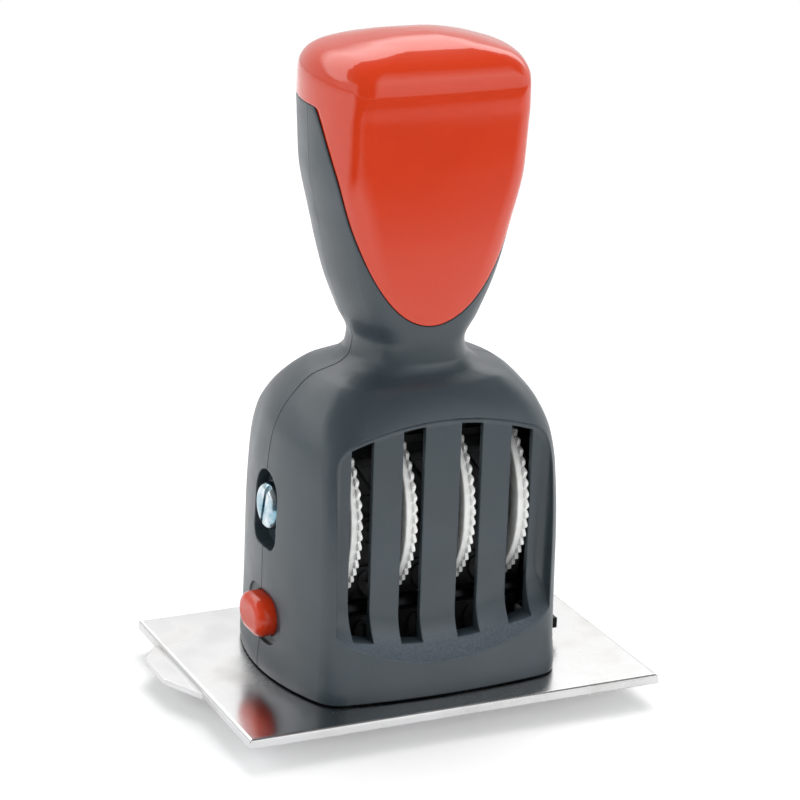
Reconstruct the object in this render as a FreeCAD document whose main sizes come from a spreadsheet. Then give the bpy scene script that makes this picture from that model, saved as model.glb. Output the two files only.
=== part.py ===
import FreeCAD, Part
import math
import os
import re
import Sketcher

# Self-seated hand stamp with a metal text plate and four turning character bands.
# Model frame in millimetres: +Z up the handle, +X to the user's right, -Y towards the
# user. z = 0 is the printing face of the bands. Every piece is drawn in a working frame
# whose z = 0 is the top of the text plate, and then raised to its height by its Placement.

doc = FreeCAD.newDocument("stamp")
sheet = doc.addObject("Spreadsheet::Sheet", "Sizes")
names = []


def size(alias, value):
    """Write one driving dimension into the sheet under its own name."""
    names.append(alias)
    row = len(names)
    sheet.set("A%d" % row, alias)
    sheet.set("B%d" % row, str(value))
    sheet.setAlias("B%d" % row, alias)


# Driving dimensions in millimetres. A text is a size that follows from the others.
SIZES = {
    # Text plate
    "plate_wide": 70,
    "plate_deep": 49.4,
    "plate_thick": 1.5,
    "plate_underside": 4,
    "plate_top": "=plate_underside + plate_thick",

    # Shells
    "wall": 2,
    "shoulder_drop": 1.1,
    "foot_overcut": 2.75,
    "seam_gap": 0.14,
    "grip_seam_gap": 0.02,
    "grip_seam_foot": 58,
    "cover_gap": 0.15,

    # Dome that closes the handle: seen from the front and from the side it has upright
    # flanks, round shoulders and a bowed top, and seen from above its corners grow rounder
    "dome_top": 101.4,
    "dome_half_wide": 17.3,
    "dome_half_deep": 13.2,
    "dome_across_bow": 43,
    "dome_across_round": 4.8,
    "dome_along_bow": 26,
    "dome_along_round": 6.5,
    "dome_corner": 7.5,

    # Handle cover: an oval field seen from the front, and above the dark side faces a
    # level line with round corners, decide where it ends on the shells
    "cover_tip": 57.2,
    "cover_oval_wide": 17.95,
    "cover_back_wide": 16.2,
    "cover_oval_tall": 47.5,
    "cover_oval_height": "=cover_tip + cover_oval_tall",
    "cover_side_top": 90.95,
    "cover_side_half": 5.9,
    "cover_side_back": 11.3,
    "cover_side_round": 4.2,

    # Tongue of the shells inside the cover, and the pins that join the two shells there
    "tongue_half_wide": 8.2,
    "tongue_half_deep": 7,
    "tongue_lap": 5.2,
    "tongue_foot": "=cover_tip - tongue_lap",
    "tongue_drop": 5.5,
    "tongue_top": "=dome_top - tongue_drop",
    "tongue_wall": 1.8,
    "pin_radius": 1.5,
    "pin_gap": 0.05,
    "pin_boss_wall": 1.45,
    "pin_cap": 0.3,
    "pin_spacing": 12,
    "pin_drop": 6,
    "pin_first": "=tongue_top - pin_drop - 2 * pin_spacing",

    # Front panel, sunk behind the skin, with its arch, its ramp and its four slots
    "panel_depth": 15.2,
    "panel_wall": 1,
    "panel_foot": 3.8,
    "panel_side": 18.3,
    "panel_arch_top": 44.3,
    "panel_arch_bow": 48,
    "panel_corner": 4,
    "panel_floor_round": 1.4,
    "ramp_centre_height": 45.8,
    "ramp_start": 12.5,
    "ramp_round": 7.2,
    "lip_bow": 40.4,
    "slot_wide": 3.7,
    "slot_inner": 4.87,
    "slot_outer": 13.5,
    "slot_rim": 1.2,
    "slot_foot": 8,
    "slot_foot_bow": 55,

    # Setting wheels
    "wheel_height": 27.3,
    "wheel_tip": 15.8,
    "tooth_round": 0.9,
    "disc_thick": 1.6,
    "disc_bevel": 0.9,
    "wheel_inner": 4.95,
    "wheel_outer": 14.2,
    "drum_radius": 8,
    "drum_long": 7.2,
    "drum_short": 2.4,
    "axle_radius": 2.5,
    "axle_gap": 0.05,
    "running_gap": 0.3,
    "shim_gap": 0.1,
    "ring_radius": 4,

    # Bands and the anvil behind their printing side
    "band_gap": 0.1,
    "band_thick": 1.2,
    "band_side_gap": 0.2,
    "pad_tall": 1.2,
    "pad_long": 5.6,
    "anvil_half_deep": 5.2,
    "anvil_corner": 1.5,
    "anvil_drop": 3,
    "anvil_top": "=separator_top - anvil_drop",
    "anvil_foot": "=band_gap + band_thick + pad_tall - plate_top",
    "separator_thick": 1.5,
    "separator_half_deep": 6.6,
    "separator_drop": 2.5,
    "separator_top": "=wheel_height - wheel_tip - separator_drop",
    "separator_foot": -2.5,

    # Side plates of the band carrier and what ties them
    "side_plate_thick": 0.9,
    "side_plate_foot_half": 4.2,
    "side_plate_half": 9,
    "side_plate_rise": 9.7,
    "side_plate_top": "=wheel_height + side_plate_rise",
    "side_plate_lift": 0.6,
    "side_plate_flare": 1.2,
    "side_plate_shoulder": 5.2,
    "cross_rod_radius": 1.25,
    "cross_rod_reach": 10.9,
    "cross_rod_height": 13,
    "ear_wall": 0.35,
    "ear_half_tall": "=cross_rod_radius + ear_wall",
    "ear_run": 4.8,
    "leaf_thick": 0.35,
    "leaf_gap": 0.25,
    "leaf_rise": 2.2,
    "leaf_top": "=wheel_height + leaf_rise",
    "leaf_belly": 1,
    "leaf_bend_drop": 8,
    "leaf_knee_drop": 1.5,
    "carrier_left": "=wheel_outer + disc_thick / 2 + running_gap",
    "carrier_right": "=wheel_outer + disc_thick / 2 + drum_short + running_gap",

    # Side windows with their lock screws
    "window_depth": 2.6,
    "window_floor": 1,
    "window_half_wide": 4.3,
    "window_half_tall": 6.3,
    "window_drop": 0.3,
    "window_height": "=wheel_height - window_drop",
    "window_wall": 1.5,
    "window_corner": 2.4,
    "window_slot_half_wide": 1.9,
    "window_slot_half_tall": 3.9,
    "washer_radius": 4.1,
    "washer_thick": 0.4,
    "washer_gap": 0.1,
    "screw_head_radius": 3.75,
    "screw_head_tall": 2.1,
    "screw_dome_round": 1.2,
    "screw_shank_radius": 1.45,
    "screw_hold": 6,
    "screw_bore_depth": 7,
    "screw_slot_wide": 0.9,
    "screw_slot_deep": 0.8,
    "floor_face": "=belt_half_wide - window_depth",
    "axle_end": "=floor_face - window_floor - running_gap",

    # Release button on the left wall
    "button_height": 9.4,
    "button_half_run": 1.4,
    "button_half_tall": 3.1,
    "button_gap": 0.2,
    "button_proud": 2.4,
    "button_edge_round": 1.4,
    "button_travel": 1.4,
    "button_skin": 1.1,
    "dish_run": 0.9,
    "dish_margin": 1.2,
    "dish_depth": 0.6,
    "dish_round": 0.55,
    "flange_half": 7,
    "flange_gap": 0.7,
    "flange_thick": 0.8,
    "spring_radius": 1.6,
    "spring_gap": 0.2,
    "spring_wire": 0.4,
    "spring_pitch": 1.35,
    "rib_gap": 0.5,
    "rib_thick": 0.6,

    # Catch at the left of the text plate and hook at its right
    "catch_gap": 0.5,
    "catch_thick": 1.2,
    "catch_half": 5,
    "catch_tall": 5.2,
    "catch_eye_half": 3.6,
    "catch_eye_foot": 2.2,
    "catch_eye_top": 4.4,
    "arm_half": 3.2,
    "arm_thick": 1.1,
    "arm_foot": 2.4,
    "block_foot": 5.7,
    "hook_half": 6.5,
    "hook_foot": 2.2,
    "hook_thick": 1.7,
    "hook_proud": 2.7,
    "hook_clear": 0.5,
    "ledge_thick": 1.2,
    "ledge_gap": 0.3,
    "ledge_lap": 0.1,

    # Opening of the text plate, its rolled edge and its left tab
    "opening_half_deep": 8.2,
    "plate_edge_round": 0.5,
    "tab_reach": 3.6,
    "tab_back": 15.6,
    "tab_back_reach": 0.6,
    "tab_flat_back": 12,
    "tab_flat_front": 3,
    "tab_front": 6.1,
    "tab_front_lap": 0.8,
    "tab_drop": 0.9,
    "tab_thick": 1,
    "tab_lap": 2,
    "tab_round": 2,
}

# Copies round each wheel and band, level cuts of the dome, and the turn of the screw slot
# from upright in degrees
COUNTS = {"tooth_count": 56, "pad_count": 12, "dome_level_count": 9}
ANGLES = {"screw_slot_turn": 17}

# Stations of the outer skin from the foot up to the crown of the handle. Each has its
# height above the plate, half width, half depth, corner radius and the radii by which
# the side faces and the front and rear faces bow outwards.
STATIONS = ["foot", "bead", "heel", "belt", "shoulder", "brow", "eave", "slope", "collar",
            "throat", "nape", "neck", "chin", "jaw", "grip", "cheek", "crown"]
STATION_WORDS = ["height", "half_wide", "half_deep", "corner", "side_bow", "front_bow"]
STATION_SIZES = {
    "foot": (0.3, 23.9, 20.1, 5, 39, 120),
    "bead": (1.5, 24, 20.15, 5, 39, 120),
    "heel": (5.5, 23.6, 19.9, 5, 39, 120),
    "belt": (24, 23.3, 19.7, 5, 39, 120),
    "shoulder": (34.5, 22.75, 19.2, 5.8, 38, 100),
    "brow": (39.5, 22, 18.3, 6.5, 35, 80),
    "eave": (43.2, 20.4, 16.8, 7, 31, 58),
    "slope": (46, 18.2, 15, 7, 26, 42),
    "collar": (48.2, 15.6, 12.9, 6.8, 21, 30),
    "throat": (49.8, 10.9, 10.2, 6.4, 14, 22),
    "nape": (51.3, 9.4, 9.4, 5.6, 12, 20),
    "neck": (53.6, 9, 9.4, 5.4, 12, 20),
    "chin": (57.8, 10.8, 10, 5.4, 14, 40),
    "jaw": (64, 13.1, 10.7, 5.2, 17, 90),
    "grip": (72, 15, 11.5, 4.8, 20, 130),
    "cheek": (82, 16.9, 12.2, 4, 22.5, 150),
    "crown": (90, 17.3, 12.75, 3.5, 23, 150),
}

for alias, value in (SIZES | COUNTS | ANGLES).items():
    size(alias, value)
for station in STATIONS:
    for word, value in zip(STATION_WORDS, STATION_SIZES[station]):
        size("%s_%s" % (station, word), value)

doc.recompute()

FLOOR = "XY_Plane"
FRONT = "XZ_Plane"
SIDE = "YZ_Plane"
TURNS = {
    "x": FreeCAD.Rotation(FreeCAD.Vector(0, 1, 0), 90),
    "y": FreeCAD.Rotation(FreeCAD.Vector(1, 0, 0), -90),
    "z": FreeCAD.Rotation(),
}
START, END, CENTRE = range(1, 4)
ORIGIN = (-1, 1)
ACROSS_AXIS, UP_AXIS = -1, -2
PIECES = []
base_heights = {}


def formula(text):
    """A formula of named sizes, as an object's expression takes it."""
    return re.sub(r"[a-z_]\w*", lambda word: "Sizes." + word[0] if word[0] in names else word[0],
                  str(text))


def worth(text):
    """The present value of a formula of named sizes."""
    return float(sheet.evalExpression(formula(text)))


# Sketches

def sketch_on(body, name, role, offset):
    """A sketch on one of the body's own base planes, moved along that plane's normal."""
    sketch = body.newObject("Sketcher::SketchObject", name)
    for plane in body.Origin.OriginFeatures:
        if plane.Role == role:
            sketch.AttachmentSupport = (plane, "")
    sketch.MapMode = "FlatFace"
    sketch.setExpression("AttachmentOffset.Base.z", formula(offset))
    return sketch


def dimension(sketch, kind, ends, text):
    """A dimension that follows a formula of named sizes."""
    number = sketch.addConstraint(Sketcher.Constraint(kind, *ends, worth(text)))
    sketch.setExpression("Constraints[%d]" % number, formula(text))


def relate(sketch, kind, *ends):
    """A relation without a value between curves of a sketch."""
    sketch.addConstraint(Sketcher.Constraint(kind, *ends))


def arc(centre, radius, first, last):
    """A circular arc between two angles in radians."""
    circle = Part.Circle(FreeCAD.Vector(centre[0], centre[1], 0), FreeCAD.Vector(0, 0, 1), radius)
    return Part.ArcOfCircle(circle, first, last)


def line(start, end):
    """A straight line between two points."""
    return Part.LineSegment(FreeCAD.Vector(*start, 0), FreeCAD.Vector(*end, 0))


def smooth_ring(sketch, first, count):
    """Join each curve of a closed run to the next one, tangent to it."""
    for step in range(count):
        follower = first + (step + 1) % count
        relate(sketch, "Tangent", first + step, END, follower, START)


def outline(sketch, corners):
    """A closed run of straight lines whose corners are formulas of named sizes."""
    first = sketch.GeometryCount
    spots = [(worth(across), worth(up)) for across, up in corners]
    count = len(spots)
    for step in range(count):
        sketch.addGeometry(line(spots[step], spots[(step + 1) % count]))
    for step in range(count):
        relate(sketch, "Coincident", first + step, END, first + (step + 1) % count, START)
        dimension(sketch, "DistanceX", ORIGIN + (first + step, START), corners[step][0])
        dimension(sketch, "DistanceY", ORIGIN + (first + step, START), corners[step][1])


def disc(sketch, spot):
    """A circle: centre across, centre up and radius."""
    across, up, radius = spot
    number = sketch.addGeometry(Part.Circle(
        FreeCAD.Vector(worth(across), worth(up), 0), FreeCAD.Vector(0, 0, 1), worth(radius)))
    dimension(sketch, "DistanceX", ORIGIN + (number, CENTRE), across)
    dimension(sketch, "DistanceY", ORIGIN + (number, CENTRE), up)
    dimension(sketch, "Radius", (number,), radius)


def obround(sketch, spot):
    """A long hole: centre across and up, half distance of its two round ends, their radius
    and whether it stands upright."""
    across, up, half_run, radius, upright = spot
    run, reach = worth(half_run), worth(radius)
    middle = (worth(across), worth(up))
    turn = math.pi / 2 if upright else 0
    step_across, step_up = (0, run) if upright else (run, 0)
    far = (middle[0] + step_across, middle[1] + step_up)
    near = (middle[0] - step_across, middle[1] - step_up)
    side = (-reach, 0) if upright else (0, reach)
    first = sketch.addGeometry(arc(far, reach, turn - math.pi / 2, turn + math.pi / 2))
    sketch.addGeometry(line((far[0] + side[0], far[1] + side[1]),
                            (near[0] + side[0], near[1] + side[1])))
    sketch.addGeometry(arc(near, reach, turn + math.pi / 2, turn + 3 * math.pi / 2))
    sketch.addGeometry(line((near[0] - side[0], near[1] - side[1]),
                            (far[0] - side[0], far[1] - side[1])))
    smooth_ring(sketch, first, 4)
    for number, sign in ((first, "+"), (first + 2, "-")):
        shift = "%s (%s)" % (sign, half_run)
        dimension(sketch, "DistanceX", ORIGIN + (number, CENTRE),
                  across if upright else "(%s) %s" % (across, shift))
        dimension(sketch, "DistanceY", ORIGIN + (number, CENTRE),
                  "(%s) %s" % (up, shift) if upright else up)
    dimension(sketch, "Radius", (first,), radius)


# Solids

def pad(body, sketch, length):
    """Thicken a sketch along its plane's normal."""
    feature = body.newObject("PartDesign::Pad", sketch.Name + "_pad")
    feature.Profile = sketch
    feature.setExpression("Length", formula(length))
    body.Tip = feature
    sketch.Visibility = False
    return feature


def prism(name, role, draw, shape, low, high):
    """One outline drawn on a base plane and thickened from low to high along the axis
    that is square to that plane."""
    body = doc.addObject("PartDesign::Body", name)
    start = "-(%s)" % high if role == FRONT else low
    sketch = sketch_on(body, name + "_outline", role, start)
    draw(sketch, shape)
    pad(body, sketch, "(%s) - (%s)" % (high, low))
    return body


def block(name, low, high):
    """A block between its lowest and its highest corner."""
    solid = doc.addObject("Part::Box", name)
    for side, axis, start, end in zip(("Length", "Width", "Height"), "xyz", low, high):
        solid.setExpression(side, formula("(%s) - (%s)" % (end, start)))
        solid.setExpression("Placement.Base." + axis, formula(start))
    base_heights[name] = low[2]
    return solid


def rod(name, axis, centre, radius, low, high):
    """A cylinder along one axis: its centre on the other two, its radius and its ends."""
    solid = doc.addObject("Part::Cylinder", name)
    solid.Placement = FreeCAD.Placement(FreeCAD.Vector(), TURNS[axis])
    solid.setExpression("Radius", formula(radius))
    solid.setExpression("Height", formula("(%s) - (%s)" % (high, low)))
    others = iter(centre)
    for letter in "xyz":
        start = low if letter == axis else next(others)
        solid.setExpression("Placement.Base." + letter, formula(start))
        if letter == "z":
            base_heights[name] = start
    return solid


def joined(name, solids):
    """Several solids as one."""
    union = doc.addObject("Part::MultiFuse", name)
    union.Shapes = solids
    union.Refine = True
    return union


def shared(name, solids):
    """What several solids have in common."""
    common = doc.addObject("Part::MultiCommon", name)
    common.Shapes = solids
    return common


def less(name, solid, tools):
    """A solid with one or more tools taken away."""
    cut = doc.addObject("Part::Cut", name)
    cut.Base = solid
    cut.Tool = tools[0] if len(tools) == 1 else joined(name + "_tools", tools)
    return cut


def group(name, solids):
    """Separate solids kept together as one piece of the list."""
    together = doc.addObject("Part::Compound", name)
    together.Links = solids
    return together


def ring(name, axis, centre, outer, inner, low, high):
    """A tube along one axis."""
    return less(name, rod(name + "_outside", axis, centre, outer, low, high),
                [rod(name + "_bore", axis, centre, inner, low, high)])


def edges_where(solid, test):
    """Names of the edges whose middle point passes a test."""
    found = []
    for number, edge in enumerate(solid.Shape.Edges, 1):
        middle = edge.valueAt((edge.FirstParameter + edge.LastParameter) / 2)
        if test(middle):
            found.append("Edge%d" % number)
    return found


def rounded(name, body, radius, test):
    """Round the chosen edges of a body."""
    doc.recompute()
    base = body.Tip
    fillet = body.newObject("PartDesign::Fillet", name)
    fillet.Base = (base, edges_where(base, test))
    fillet.setExpression("Radius", formula(radius))
    body.Tip = fillet


def near(value, text):
    """Whether a coordinate lies at a formula's value."""
    return abs(value - worth(text)) < 0.01


def piece(solid, label):
    """Name a finished sub-part and raise it from the working frame to its height."""
    solid.Label = label
    height = base_heights.get(solid.Name, "0")
    solid.setExpression("Placement.Base.z", formula("plate_top + (%s)" % height))
    PIECES.append(solid)
    return solid


# Outer skin and cavity

def section(cut):
    """One level cut of the skin: four bowed sides joined by four round corners, tangent to
    each other. Each of the eight arcs has its centre, radius, first and last angle."""
    half_wide, half_deep, corner, side_bow, front_bow = cut
    across, along = half_wide - side_bow, half_deep - front_bow
    apart = math.hypot(across, along)
    reach = ((side_bow - corner) ** 2 - (front_bow - corner) ** 2 + apart ** 2) / (2 * apart)
    rise = math.sqrt((side_bow - corner) ** 2 - reach ** 2)
    corner_across = across - (reach * across + rise * along) / apart
    corner_along = (reach * along - rise * across) / apart
    side = math.atan2(corner_along, corner_across - across)
    front = math.atan2(corner_along - along, corner_across)
    half = math.pi
    return [
        ((across, 0), side_bow, -side, side),
        ((corner_across, corner_along), corner, side, front),
        ((0, along), front_bow, front, half - front),
        ((-corner_across, corner_along), corner, half - front, half - side),
        ((-across, 0), side_bow, half - side, half + side),
        ((-corner_across, -corner_along), corner, half + side, half + front),
        ((0, -along), front_bow, half + front, 2 * half - front),
        ((corner_across, -corner_along), corner, 2 * half - front, 2 * half - side),
    ]


def arc_poles(centre, radius, first, last):
    """The four poles of a cubic curve that follows an arc."""
    arm = 4 / 3 * math.tan((last - first) / 4) * radius
    start = (centre[0] + radius * math.cos(first), centre[1] + radius * math.sin(first))
    end = (centre[0] + radius * math.cos(last), centre[1] + radius * math.sin(last))
    return [start,
            (start[0] - arm * math.sin(first), start[1] + arm * math.cos(first)),
            (end[0] + arm * math.sin(last), end[1] - arm * math.cos(last)),
            end]


def slopes(runs, values):
    """Slopes at which a curve through the values never swings past them."""
    steps = [high - low for low, high in zip(runs, runs[1:])]
    grades = [(high - low) / step for low, high, step in zip(values, values[1:], steps)]
    inner = []
    for before, after, low, high in zip(grades, grades[1:], steps, steps[1:]):
        if before * after <= 0:
            inner.append(0)
        else:
            inner.append(3 * (low + high) / ((low + 2 * high) / before
                                             + (2 * low + high) / after))
    return [grades[0]] + inner + [grades[-1]]


def rising_poles(runs, spots):
    """Poles of a smooth curve up the wall through one spot at each length along it."""
    leans = list(zip(*(slopes(runs, [spot[axis] for spot in spots]) for axis in range(3))))

    def pole(number, step):
        return FreeCAD.Vector(*(value + lean * step
                                for value, lean in zip(spots[number], leans[number])))

    poles = [pole(0, 0)]
    for number, (low, high) in enumerate(zip(runs, runs[1:])):
        third = (high - low) / 3
        poles += [pole(number, third), pole(number + 1, -third)]
    return poles + [pole(len(runs) - 1, 0)]


class Flank:
    """The dome seen from one side: an upright flank, a round shoulder and a bowed top."""

    def __init__(self, side, bow, shoulder, inset):
        self.side, self.bow, self.shoulder = (
            worth("%s - %s" % (text, inset)) for text in (side, bow, shoulder))
        self.middle = worth("dome_top - %s" % bow)
        inner = self.side - self.shoulder
        self.foot = self.middle + math.sqrt((self.bow - self.shoulder) ** 2 - inner ** 2)
        self.turn = math.atan2(self.foot - self.middle, inner)

    def height(self, angle):
        """Height of the place whose normal rises by an angle in radians."""
        if angle < self.turn:
            return self.foot + self.shoulder * math.sin(angle)
        return self.middle + self.bow * math.sin(angle)

    def run(self, angle):
        """Length along the dome from the foot of its shoulder to such a place."""
        return self.shoulder * min(angle, self.turn) + self.bow * max(angle - self.turn, 0)

    def reach(self, height):
        """Half width at one height."""
        rise = height - self.foot
        if rise <= 0:
            return self.side
        if rise < self.shoulder * math.sin(self.turn):
            return self.side - self.shoulder + math.sqrt(self.shoulder ** 2 - rise ** 2)
        return math.sqrt(self.bow ** 2 - (height - self.middle) ** 2)


DOME_LAST_ANGLE = math.radians(87)
CORNER_SHARE = 0.8


def dome_levels(inset):
    """Level cuts of the dome: length along the wall, height and the sizes of each cut."""
    along = Flank("dome_half_deep", "dome_along_bow", "dome_along_round", inset)
    across = Flank("dome_half_wide", "dome_across_bow", "dome_across_round", inset)
    count = int(worth("dome_level_count"))
    shoulder_count = count // 2
    angles = [along.turn * number / shoulder_count for number in range(shoulder_count)]
    last = count - shoulder_count - 1
    angles += [along.turn + (DOME_LAST_ANGLE - along.turn) * number / last
               for number in range(last + 1)]
    sharp, soft, side_bow, front_bow = (
        worth("%s - %s" % (word, inset))
        for word in ("crown_corner", "dome_corner", "crown_side_bow", "crown_front_bow"))
    levels = []
    for number, angle in enumerate(angles):
        height = along.height(angle)
        half_wide, half_deep = across.reach(height), along.reach(height)
        corner = min(sharp + (soft - sharp) * number / (count - 1), CORNER_SHARE * half_deep)
        cut = (half_wide, half_deep, corner, side_bow * half_deep / along.side,
               front_bow * half_wide / across.side)
        levels.append((along.foot + along.run(angle), height, cut))
    return levels


def skin(name, inset, lower):
    """A closed solid through all the stations and over the dome, moved inwards by one
    amount. The stations named in lower are brought down, so that a sloping wall keeps its
    thickness."""
    levels = []
    for station in STATIONS:
        height = worth("%s_height - (%s)" % (station, lower.get(station, "0")))
        cut = [worth("%s_%s - %s" % (station, word, inset)) for word in STATION_WORDS[1:]]
        levels.append((height, height, cut))
    levels += dome_levels(inset)
    runs = [run for run, height, cut in levels]
    rings = [[[pole + (height,) for pole in arc_poles(*bend)] for bend in section(cut)]
             for run, height, cut in levels]
    counts = [4] + [2] * (len(runs) - 2) + [4]
    walls = []
    for side in range(len(rings[0])):
        rows = [rising_poles(runs, [ring[side][pole] for ring in rings])
                for pole in range(4)]
        surface = Part.BSplineSurface()
        surface.buildFromPolesMultsKnots(rows, [4, 4], counts, [0, 1], runs,
                                         False, False, 3, 3)
        walls.append(surface.toShape())
    ends = []
    for end in (rings[0], rings[-1]):
        edges = []
        for poles in end:
            curve = Part.BezierCurve()
            curve.setPoles([FreeCAD.Vector(*pole) for pole in poles])
            edges.append(curve.toShape())
        ends.append(Part.Face(Part.Wire(edges)))
    shell = Part.makeShell(walls + ends)
    shell.sewShape()
    solid = Part.makeSolid(shell)
    if solid.Volume < 0:
        solid.reverse()
    feature = doc.addObject("Part::Feature", name)
    feature.Shape = solid
    return feature


SHOULDER = ("eave", "slope", "collar", "throat", "nape")
drops = {station: "shoulder_drop" for station in SHOULDER}
drops["foot"] = "foot_height + foot_overcut"
outer = skin("skin", "0", {})
inner = skin("cavity", "wall", drops)
casing = less("casing", outer, [inner])


def rectangle(sketch, sides):
    """A rectangle from its left, low, right and high side."""
    left, low, right, high = sides
    outline(sketch, [(left, low), (right, low), (right, high), (left, high)])


def oval(sketch, shape):
    """The oval end of the cover, seen from the front: half its width, and its gap."""
    half_wide, gap = shape
    wide, tall = "%s - %s" % (half_wide, gap), "cover_oval_tall - %s" % gap
    height = worth("cover_oval_height")
    centre = FreeCAD.Vector(0, height, 0)
    number = sketch.addGeometry(Part.Ellipse(
        FreeCAD.Vector(0, height + worth(tall), 0),
        FreeCAD.Vector(worth(wide), height, 0), centre))
    sketch.exposeInternalGeometry(number)
    relate(sketch, "PointOnObject", number, CENTRE, UP_AXIS)
    relate(sketch, "Vertical", number + 1)
    dimension(sketch, "DistanceY", ORIGIN + (number, CENTRE), "cover_oval_height")
    dimension(sketch, "Distance", (number + 1,), "2 * (%s)" % tall)
    dimension(sketch, "Distance", (number + 2,), "2 * (%s)" % wide)


def cover_space(name, gap):
    """The space in front, behind and on top that belongs to the cover: an oval seen from
    the front, and all that lies above the rounded tops of the dark side faces."""
    half, top = "cover_side_half + %s" % gap, "cover_side_top + %s" % gap
    bend = "cover_side_round + %s" % gap
    side_face = prism(name + "_side_face", SIDE, rectangle,
                      ("-(%s)" % half, "0", "cover_side_back + %s" % gap, top),
                      "-belt_half_wide", "belt_half_wide")
    rounded(name + "_side_corners", side_face, bend,
            lambda middle: near(middle.z, top) and near(middle.x, "0"))
    above = block(name + "_above",
                  ("-belt_half_wide", "-belt_half_deep", "(%s) - (%s)" % (top, bend)),
                  ("belt_half_wide", "belt_half_deep", "dome_top + wall"))
    front = prism(name + "_oval", FRONT, oval, ("cover_oval_wide", gap),
                  "-belt_half_deep", "0")
    back = prism(name + "_back_oval", FRONT, oval, ("cover_back_wide", gap),
                 "0", "belt_half_deep")
    return joined(name, [front, back, less(name + "_crown", above, [side_face])])


handle_cover = shared("handle_cover", [casing, cover_space("cover_field", "cover_gap")])
piece(handle_cover, "handle_cover")


# Front panel

def panel_outline(sketch, shape):
    """The sunk panel seen from the front: bowed arch and foot, straight sides, round
    corners."""
    side, arch, corner, foot = worth("panel_side"), worth("panel_arch_bow"), worth(
        "panel_corner"), worth("lip_bow")
    arch_centre = worth("panel_arch_top - panel_arch_bow")
    foot_centre = worth("ramp_centre_height")
    inner = side - corner
    top = arch_centre + math.sqrt((arch - corner) ** 2 - inner ** 2)
    low = foot_centre - math.sqrt((foot - corner) ** 2 - inner ** 2)
    turn_top = math.atan2(top - arch_centre, inner)
    turn_low = math.atan2(foot_centre - low, inner)
    sketch.addGeometry(line((side, low), (side, top)))
    sketch.addGeometry(arc((inner, top), corner, 0, turn_top))
    sketch.addGeometry(arc((0, arch_centre), arch, turn_top, math.pi - turn_top))
    sketch.addGeometry(arc((-inner, top), corner, math.pi - turn_top, math.pi))
    sketch.addGeometry(line((-side, top), (-side, low)))
    sketch.addGeometry(arc((-inner, low), corner, math.pi, math.pi + turn_low))
    sketch.addGeometry(arc((0, foot_centre), foot, math.pi + turn_low,
                           2 * math.pi - turn_low))
    sketch.addGeometry(arc((inner, low), corner, 2 * math.pi - turn_low, 2 * math.pi))
    smooth_ring(sketch, 0, 8)
    for number, height, bow in ((2, "panel_arch_top - panel_arch_bow", "panel_arch_bow"),
                                (6, "ramp_centre_height", "lip_bow")):
        relate(sketch, "PointOnObject", number, CENTRE, UP_AXIS)
        dimension(sketch, "DistanceY", ORIGIN + (number, CENTRE), height)
        dimension(sketch, "Radius", (number,), bow)
    for number in (1, 3, 5, 7):
        dimension(sketch, "Radius", (number,), "panel_corner")
    relate(sketch, "Vertical", 0)
    relate(sketch, "Vertical", 4)
    dimension(sketch, "DistanceX", ORIGIN + (0, START), "panel_side")
    dimension(sketch, "DistanceX", (4, START) + ORIGIN, "panel_side")


def slot_outline(sketch, middle):
    """One slot of the panel: straight sides between two bowed ends."""
    left, right = "(%s) - slot_wide / 2" % middle, "(%s) + slot_wide / 2" % middle
    top_centre, foot_centre = "panel_arch_top - panel_arch_bow", "slot_foot + slot_foot_bow"
    top_bow, foot_bow = "panel_arch_bow - slot_rim", "slot_foot_bow"
    spots = []
    for side in (left, right):
        across = worth(side)
        spots.append((across, worth(foot_centre) - math.sqrt(
            worth(foot_bow) ** 2 - across ** 2)))
        spots.append((across, worth(top_centre) + math.sqrt(
            worth(top_bow) ** 2 - across ** 2)))
    left_foot, left_top, right_foot, right_top = spots
    sketch.addGeometry(line(right_foot, right_top))
    sketch.addGeometry(arc((0, worth(top_centre)), worth(top_bow),
                           math.atan2(right_top[1] - worth(top_centre), right_top[0]),
                           math.atan2(left_top[1] - worth(top_centre), left_top[0])))
    sketch.addGeometry(line(left_top, left_foot))
    sketch.addGeometry(arc((0, worth(foot_centre)), worth(foot_bow),
                           math.atan2(left_foot[1] - worth(foot_centre), left_foot[0]),
                           math.atan2(right_foot[1] - worth(foot_centre), right_foot[0])))
    for step in range(4):
        relate(sketch, "Coincident", step, END, (step + 1) % 4, START)
    for number, side in ((0, right), (2, left)):
        relate(sketch, "Vertical", number)
        dimension(sketch, "DistanceX", ORIGIN + (number, START), side)
    for number, height, bow in ((1, top_centre, top_bow), (3, foot_centre, foot_bow)):
        relate(sketch, "PointOnObject", number, CENTRE, UP_AXIS)
        dimension(sketch, "DistanceY", ORIGIN + (number, CENTRE), height)
        dimension(sketch, "Radius", (number,), bow)


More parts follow.
